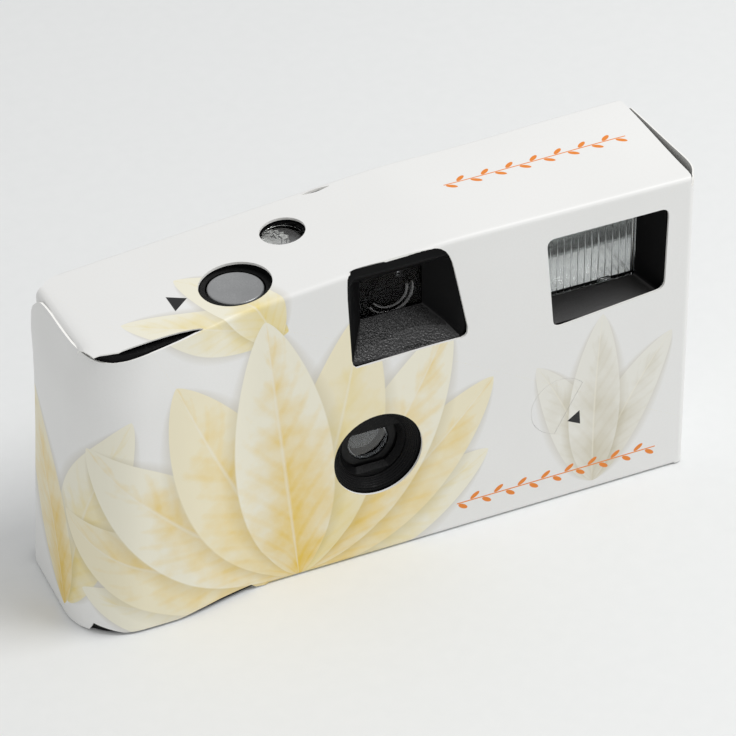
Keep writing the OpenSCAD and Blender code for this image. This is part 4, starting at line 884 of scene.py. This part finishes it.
leaf_colour = put(leaf, "MixRGB", rib, leaf_colour, (0.86, 0.83, 0.72, 1.0))
shadow = calc(leaf, "MULTIPLY", ramp(leaf, off, 1.0, 1.35, 0.3, 0.0), ramp(leaf, hump, 0.0, 0.3, 0.0, 1.0))
under = put(leaf, "MixRGB", shadow, given["Under"], (0.42, 0.36, 0.22, 1.0))
leaf.links.new(put(leaf, "MixRGB", body_mask, under, leaf_colour), made["Colour"])

# A sprig for the top and for the foot of the front: a fine stalk with small leaves left and right of it
# in turn. Each cell of the stalk holds one leaf, an ellipse that leans forward and changes sides.
sprig, given, made = effect("printed_sprig", [("Flat", "Vector"), ("Foot", "Vector"), ("Angle", "Float"),
                                              ("Length", "Float")], [("Mask", "Float")])
local = mark_place(sprig, given, "Foot")
cell = calc(sprig, "DIVIDE", local[0], 2.6)
number = calc(sprig, "FLOOR", cell)
hand = calc(sprig, "SUBTRACT", calc(sprig, "MULTIPLY", calc(sprig, "MODULO", number, 2.0), 2.0), 1.0)
a = calc(sprig, "MULTIPLY", calc(sprig, "SUBTRACT", calc(sprig, "FRACT", cell), 0.5), 2.6)
b = calc(sprig, "SUBTRACT", calc(sprig, "MULTIPLY", local[1], hand), 0.95)
lean_a = calc(sprig, "ADD", calc(sprig, "MULTIPLY", a, 0.82), calc(sprig, "MULTIPLY", b, 0.57))
lean_b = calc(sprig, "SUBTRACT", calc(sprig, "MULTIPLY", b, 0.82), calc(sprig, "MULTIPLY", a, 0.57))
ring = calc(sprig, "ADD", calc(sprig, "POWER", calc(sprig, "DIVIDE", lean_a, 1.15), 2.0),
            calc(sprig, "POWER", calc(sprig, "DIVIDE", lean_b, 0.48), 2.0))
blot = calc(sprig, "MAXIMUM", ramp(sprig, ring, 0.9, 1.15, 1.0, 0.0),
            ramp(sprig, calc(sprig, "ABSOLUTE", local[1]), 0.1, 0.16, 1.0, 0.0))
span = calc(sprig, "MULTIPLY", calc(sprig, "GREATER_THAN", local[0], 0.0),
            calc(sprig, "LESS_THAN", local[0], given["Length"]))
sprig.links.new(calc(sprig, "MULTIPLY", blot, span), made["Mask"])

# A pointer mark: a plain triangle whose sides open from its tip along the given angle.
pointer, given, made = effect(
    "printed_pointer", [("Flat", "Vector"), ("Tip", "Vector"), ("Angle", "Float"), ("Length", "Float"),
                        ("Slope", "Float")], [("Mask", "Float")])
local = mark_place(pointer, given, "Tip")
room = calc(pointer, "SUBTRACT", calc(pointer, "MULTIPLY", local[0], given["Slope"]),
            calc(pointer, "ABSOLUTE", local[1]))
left = calc(pointer, "SUBTRACT", given["Length"], local[0])
pointer.links.new(calc(pointer, "MULTIPLY", ramp(pointer, room, -0.04, 0.04, 0.0, 1.0),
                       ramp(pointer, left, -0.04, 0.04, 0.0, 1.0)), made["Mask"])

# Printed side: white coated board with a satin gloss. A spray of broad cream leaves, ochre at the
# foot, fans across the front and round the grip; pale leaves lie under the flash.
card_print, tree, shader = new_finish(
    "card_print", {"IOR": 1.46, "Specular IOR Level": 0.34, "Coat Roughness": 0.45})
flat_at = put(tree, "Group", node_tree=flat_place)
pulp = noise(tree, 2.2, 4.0, flat_at)
cloudy = noise(tree, 0.05, 2.0, flat_at)
colour = put(tree, "MixRGB", calc(tree, "MULTIPLY", pulp, cloudy), (0.8, 0.8, 0.785, 1.0),
             (0.86, 0.86, 0.85, 1.0))
cream, ochre = (0.84, 0.78, 0.58, 1.0), (0.8, 0.56, 0.1, 1.0)
ivory, straw = (0.85, 0.82, 0.68, 1.0), (0.8, 0.66, 0.26, 1.0)
mist, fawn = (0.8, 0.79, 0.73, 1.0), (0.62, 0.58, 0.46, 1.0)
for s, v, angle, length, width, bend, pale, deep in [
        (44, 2, 62, 36, 5.2, 0.3, mist, fawn), (44, 2, 112, 34, 5.0, -0.3, mist, fawn),
        (44, 2, 88, 40, 5.6, 0.1, mist, fawn),
        (-70, 4, 70, 52, 7.5, 0.3, ivory, straw), (-72, 2, 108, 50, 8.0, -0.25, cream, ochre),
        (-20, 60, 150, 34, 5.5, 0.25, ivory, straw), (-22, 58, 118, 30, 5.5, -0.2, ivory, straw),
        (-20, 1, 168, 46, 8.5, 0.3, ivory, straw), (-20, 1, 22, 44, 7.5, -0.3, ivory, straw),
        (-22, 1, 150, 54, 9.5, 0.25, cream, ochre), (-18, 1, 40, 52, 8.5, -0.25, cream, ochre),
        (-22, 1, 131, 60, 10.0, 0.2, ivory, ochre), (-18, 1, 58, 58, 9.5, -0.2, ivory, ochre),
        (-20, 0, 112, 62, 10.5, 0.12, cream, ochre), (-20, 0, 76, 61, 10.0, -0.12, cream, straw),
        (-20, 0, 94, 64, 10.0, 0.0, ivory, ochre)]:
    colour = put(tree, "Group", colour, flat_at, (s, v, 0), math.radians(angle), length, width, bend, pale,
                 deep, node_tree=leaf)
for s, v, length in [(14, 6, 44.2), (20, 86, 39.0)]:
    mask = put(tree, "Group", flat_at, (s, v, 0), 0.0, length, node_tree=sprig)
    colour = put(tree, "MixRGB", mask, colour, (0.8, 0.24, 0.03, 1.0))
tip = on_roof(-35.9, -4.76)
for s, v, angle, length, slope in [(tip[0], tip[1], math.pi, 3.3, 0.74), (38.1, 18.6, 0.06, 2.8, 0.6)]:
    mask = put(tree, "Group", flat_at, (s, v, 0), angle, length, slope, node_tree=pointer)
    colour = put(tree, "MixRGB", mask, colour, (0.012, 0.012, 0.013, 1.0))
cover(tree, shader, {
    "Base Color": colour, "Roughness": ramp(tree, pulp, 0.3, 0.7, 0.36, 0.46),
    "Coat Weight": ramp(tree, cloudy, 0.3, 0.7, 0.06, 0.12)}, (0.12, 0.00005, pulp))

def raw_board(name, light, dark, gloss):
    """Bare board: two tones of its pulp, and its roughness."""
    material, tree, shader = new_finish(name, {"IOR": 1.45})
    pulp = noise(tree, 2600.0, 5.0)
    cover(tree, shader, {
        "Base Color": put(tree, "MixRGB", pulp, dark + (1.0,), light + (1.0,)),
        "Roughness": ramp(tree, pulp, 0.3, 0.7, gloss, gloss + 0.15)}, (0.4, 0.00004, pulp))
    return material
    return material


card_inside = raw_board("card_inside", (0.7, 0.7, 0.68), (0.6, 0.6, 0.58), 0.75)
card_edge = raw_board("card_edge", (0.93, 0.925, 0.9), (0.86, 0.85, 0.82), 0.8)
columns = np.unique(np.round(np.concatenate([np.arange(-90, 95, 1.25), np.arange(63.2, 66.4, 0.3),
                                             np.arange(-59.8, -57.4, 0.3)]), 3))
rows = np.unique(np.round(np.concatenate([np.arange(-34, 180, 1.25), np.arange(-1.4, 1.5, 0.28),
                                          np.arange(64.4, 71.6, 0.36), np.arange(97, 100.4, 0.3),
                                          np.arange(165.6, 167.8, 0.3)]), 3))
sleeve = board_piece("card_wrap", *cut_board([outline] + windows, columns, rows), "camera")
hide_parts("card_sleeve")


# Case foot: the black rim of the case's lower front edge, which shows in the notch of the card and
# in the gap beside it. It follows the card's inner side round the grip.
rim_s, rim_v = np.meshgrid(np.linspace(-68, -29.4, 120), [0.3, 3.4], indexing="ij")
rim_outer = folded(rim_s, rim_v)
run = np.gradient(rim_outer, axis=0)[..., :2]
run /= np.linalg.norm(run, axis=-1)[..., None]
inward = np.stack([-run[..., 1], run[..., 0], np.zeros_like(rim_s)], -1)
piece("case_foot", *block(rim_outer + 0.62 * inward, rim_outer + 1.2 * inward), [case_black], "camera",
      "case_black")


# Charge tab: the half-cut tongue of the same board over the flash button, a piece on a body of its own. A
# cutting rule has freed it along its arc, and the real tab bends on its uncut chord.
tab = board_piece("charge_tongue", *cut_board([tongue(6.35, 2.06)], np.arange(29, 44, 1.0),
                                              np.arange(15, 31, 1.0)),
                  "tab")
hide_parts("flash_tab")

# Stage: a pale table with soft light from above on the flash side, seen from above the grip end.
floor_pale, tree, shader = new_finish("floor_pale", {"IOR": 1.4})
grain = noise(tree, 300.0, 4.0)
cover(tree, shader, {
    "Base Color": put(tree, "MixRGB", grain, (0.8, 0.812, 0.81, 1.0), (0.83, 0.84, 0.838, 1.0)),
    "Roughness": ramp(tree, grain, 0.3, 0.7, 0.7, 0.8)})
side = np.linspace(-1.6, 1.6, 3)
table = np.stack([*np.meshgrid(side, side), np.full((3, 3), -0.0002)], -1).reshape(-1, 3)
mesh = bpy.data.meshes.new("table")
mesh.from_pydata(table.tolist(), [], [[0, 1, 4, 3], [1, 2, 5, 4], [3, 4, 7, 6], [4, 5, 8, 7]])
mesh.materials.append(floor_pale)
table = into_scene("table", mesh)

# Key lamp: a square soft lamp, turned so that it shines at the object's middle.
key = bpy.data.lights.new("key", "AREA")
key.energy, key.size = 4.3, 0.38
key_at = np.array([0.42, -0.24, 0.78])
back = key_at - [0, 0, 0.03]
back /= np.linalg.norm(back)
right = np.cross([0.0, 1.0, 0.02], back)
right /= np.linalg.norm(right)
turn = np.eye(4)
turn[:3] = np.stack([right, np.cross(back, right), back, key_at], 1)
into_scene("key", key).matrix_world = Matrix(turn.tolist())
world = bpy.data.worlds.new("room")
world.use_nodes = True
background = world.node_tree.nodes["Background"].inputs
background["Color"].default_value, background["Strength"].default_value = (1.0, 1.0, 1.0, 1.0), 0.6
bpy.context.scene.world = world
bpy.context.scene.view_settings.view_transform = "Standard"
eye = bpy.data.cameras.new("photo_camera")
eye.lens, eye.sensor_width, eye.sensor_fit = 146.74, 36.0, "HORIZONTAL"
eye.clip_start, eye.clip_end = 0.05, 20.0
photo_camera = into_scene("photo_camera", eye)
photo_camera.matrix_world = Matrix((
    (0.91320, 0.25040, -0.32151, -0.18532), (-0.40698, 0.52005, -0.75094, -0.43705),
    (-0.02084, 0.81661, 0.57682, 0.36917), (0, 0, 0, 1)))
bpy.context.scene.camera = photo_camera
bpy.context.scene.camera = photo_camera
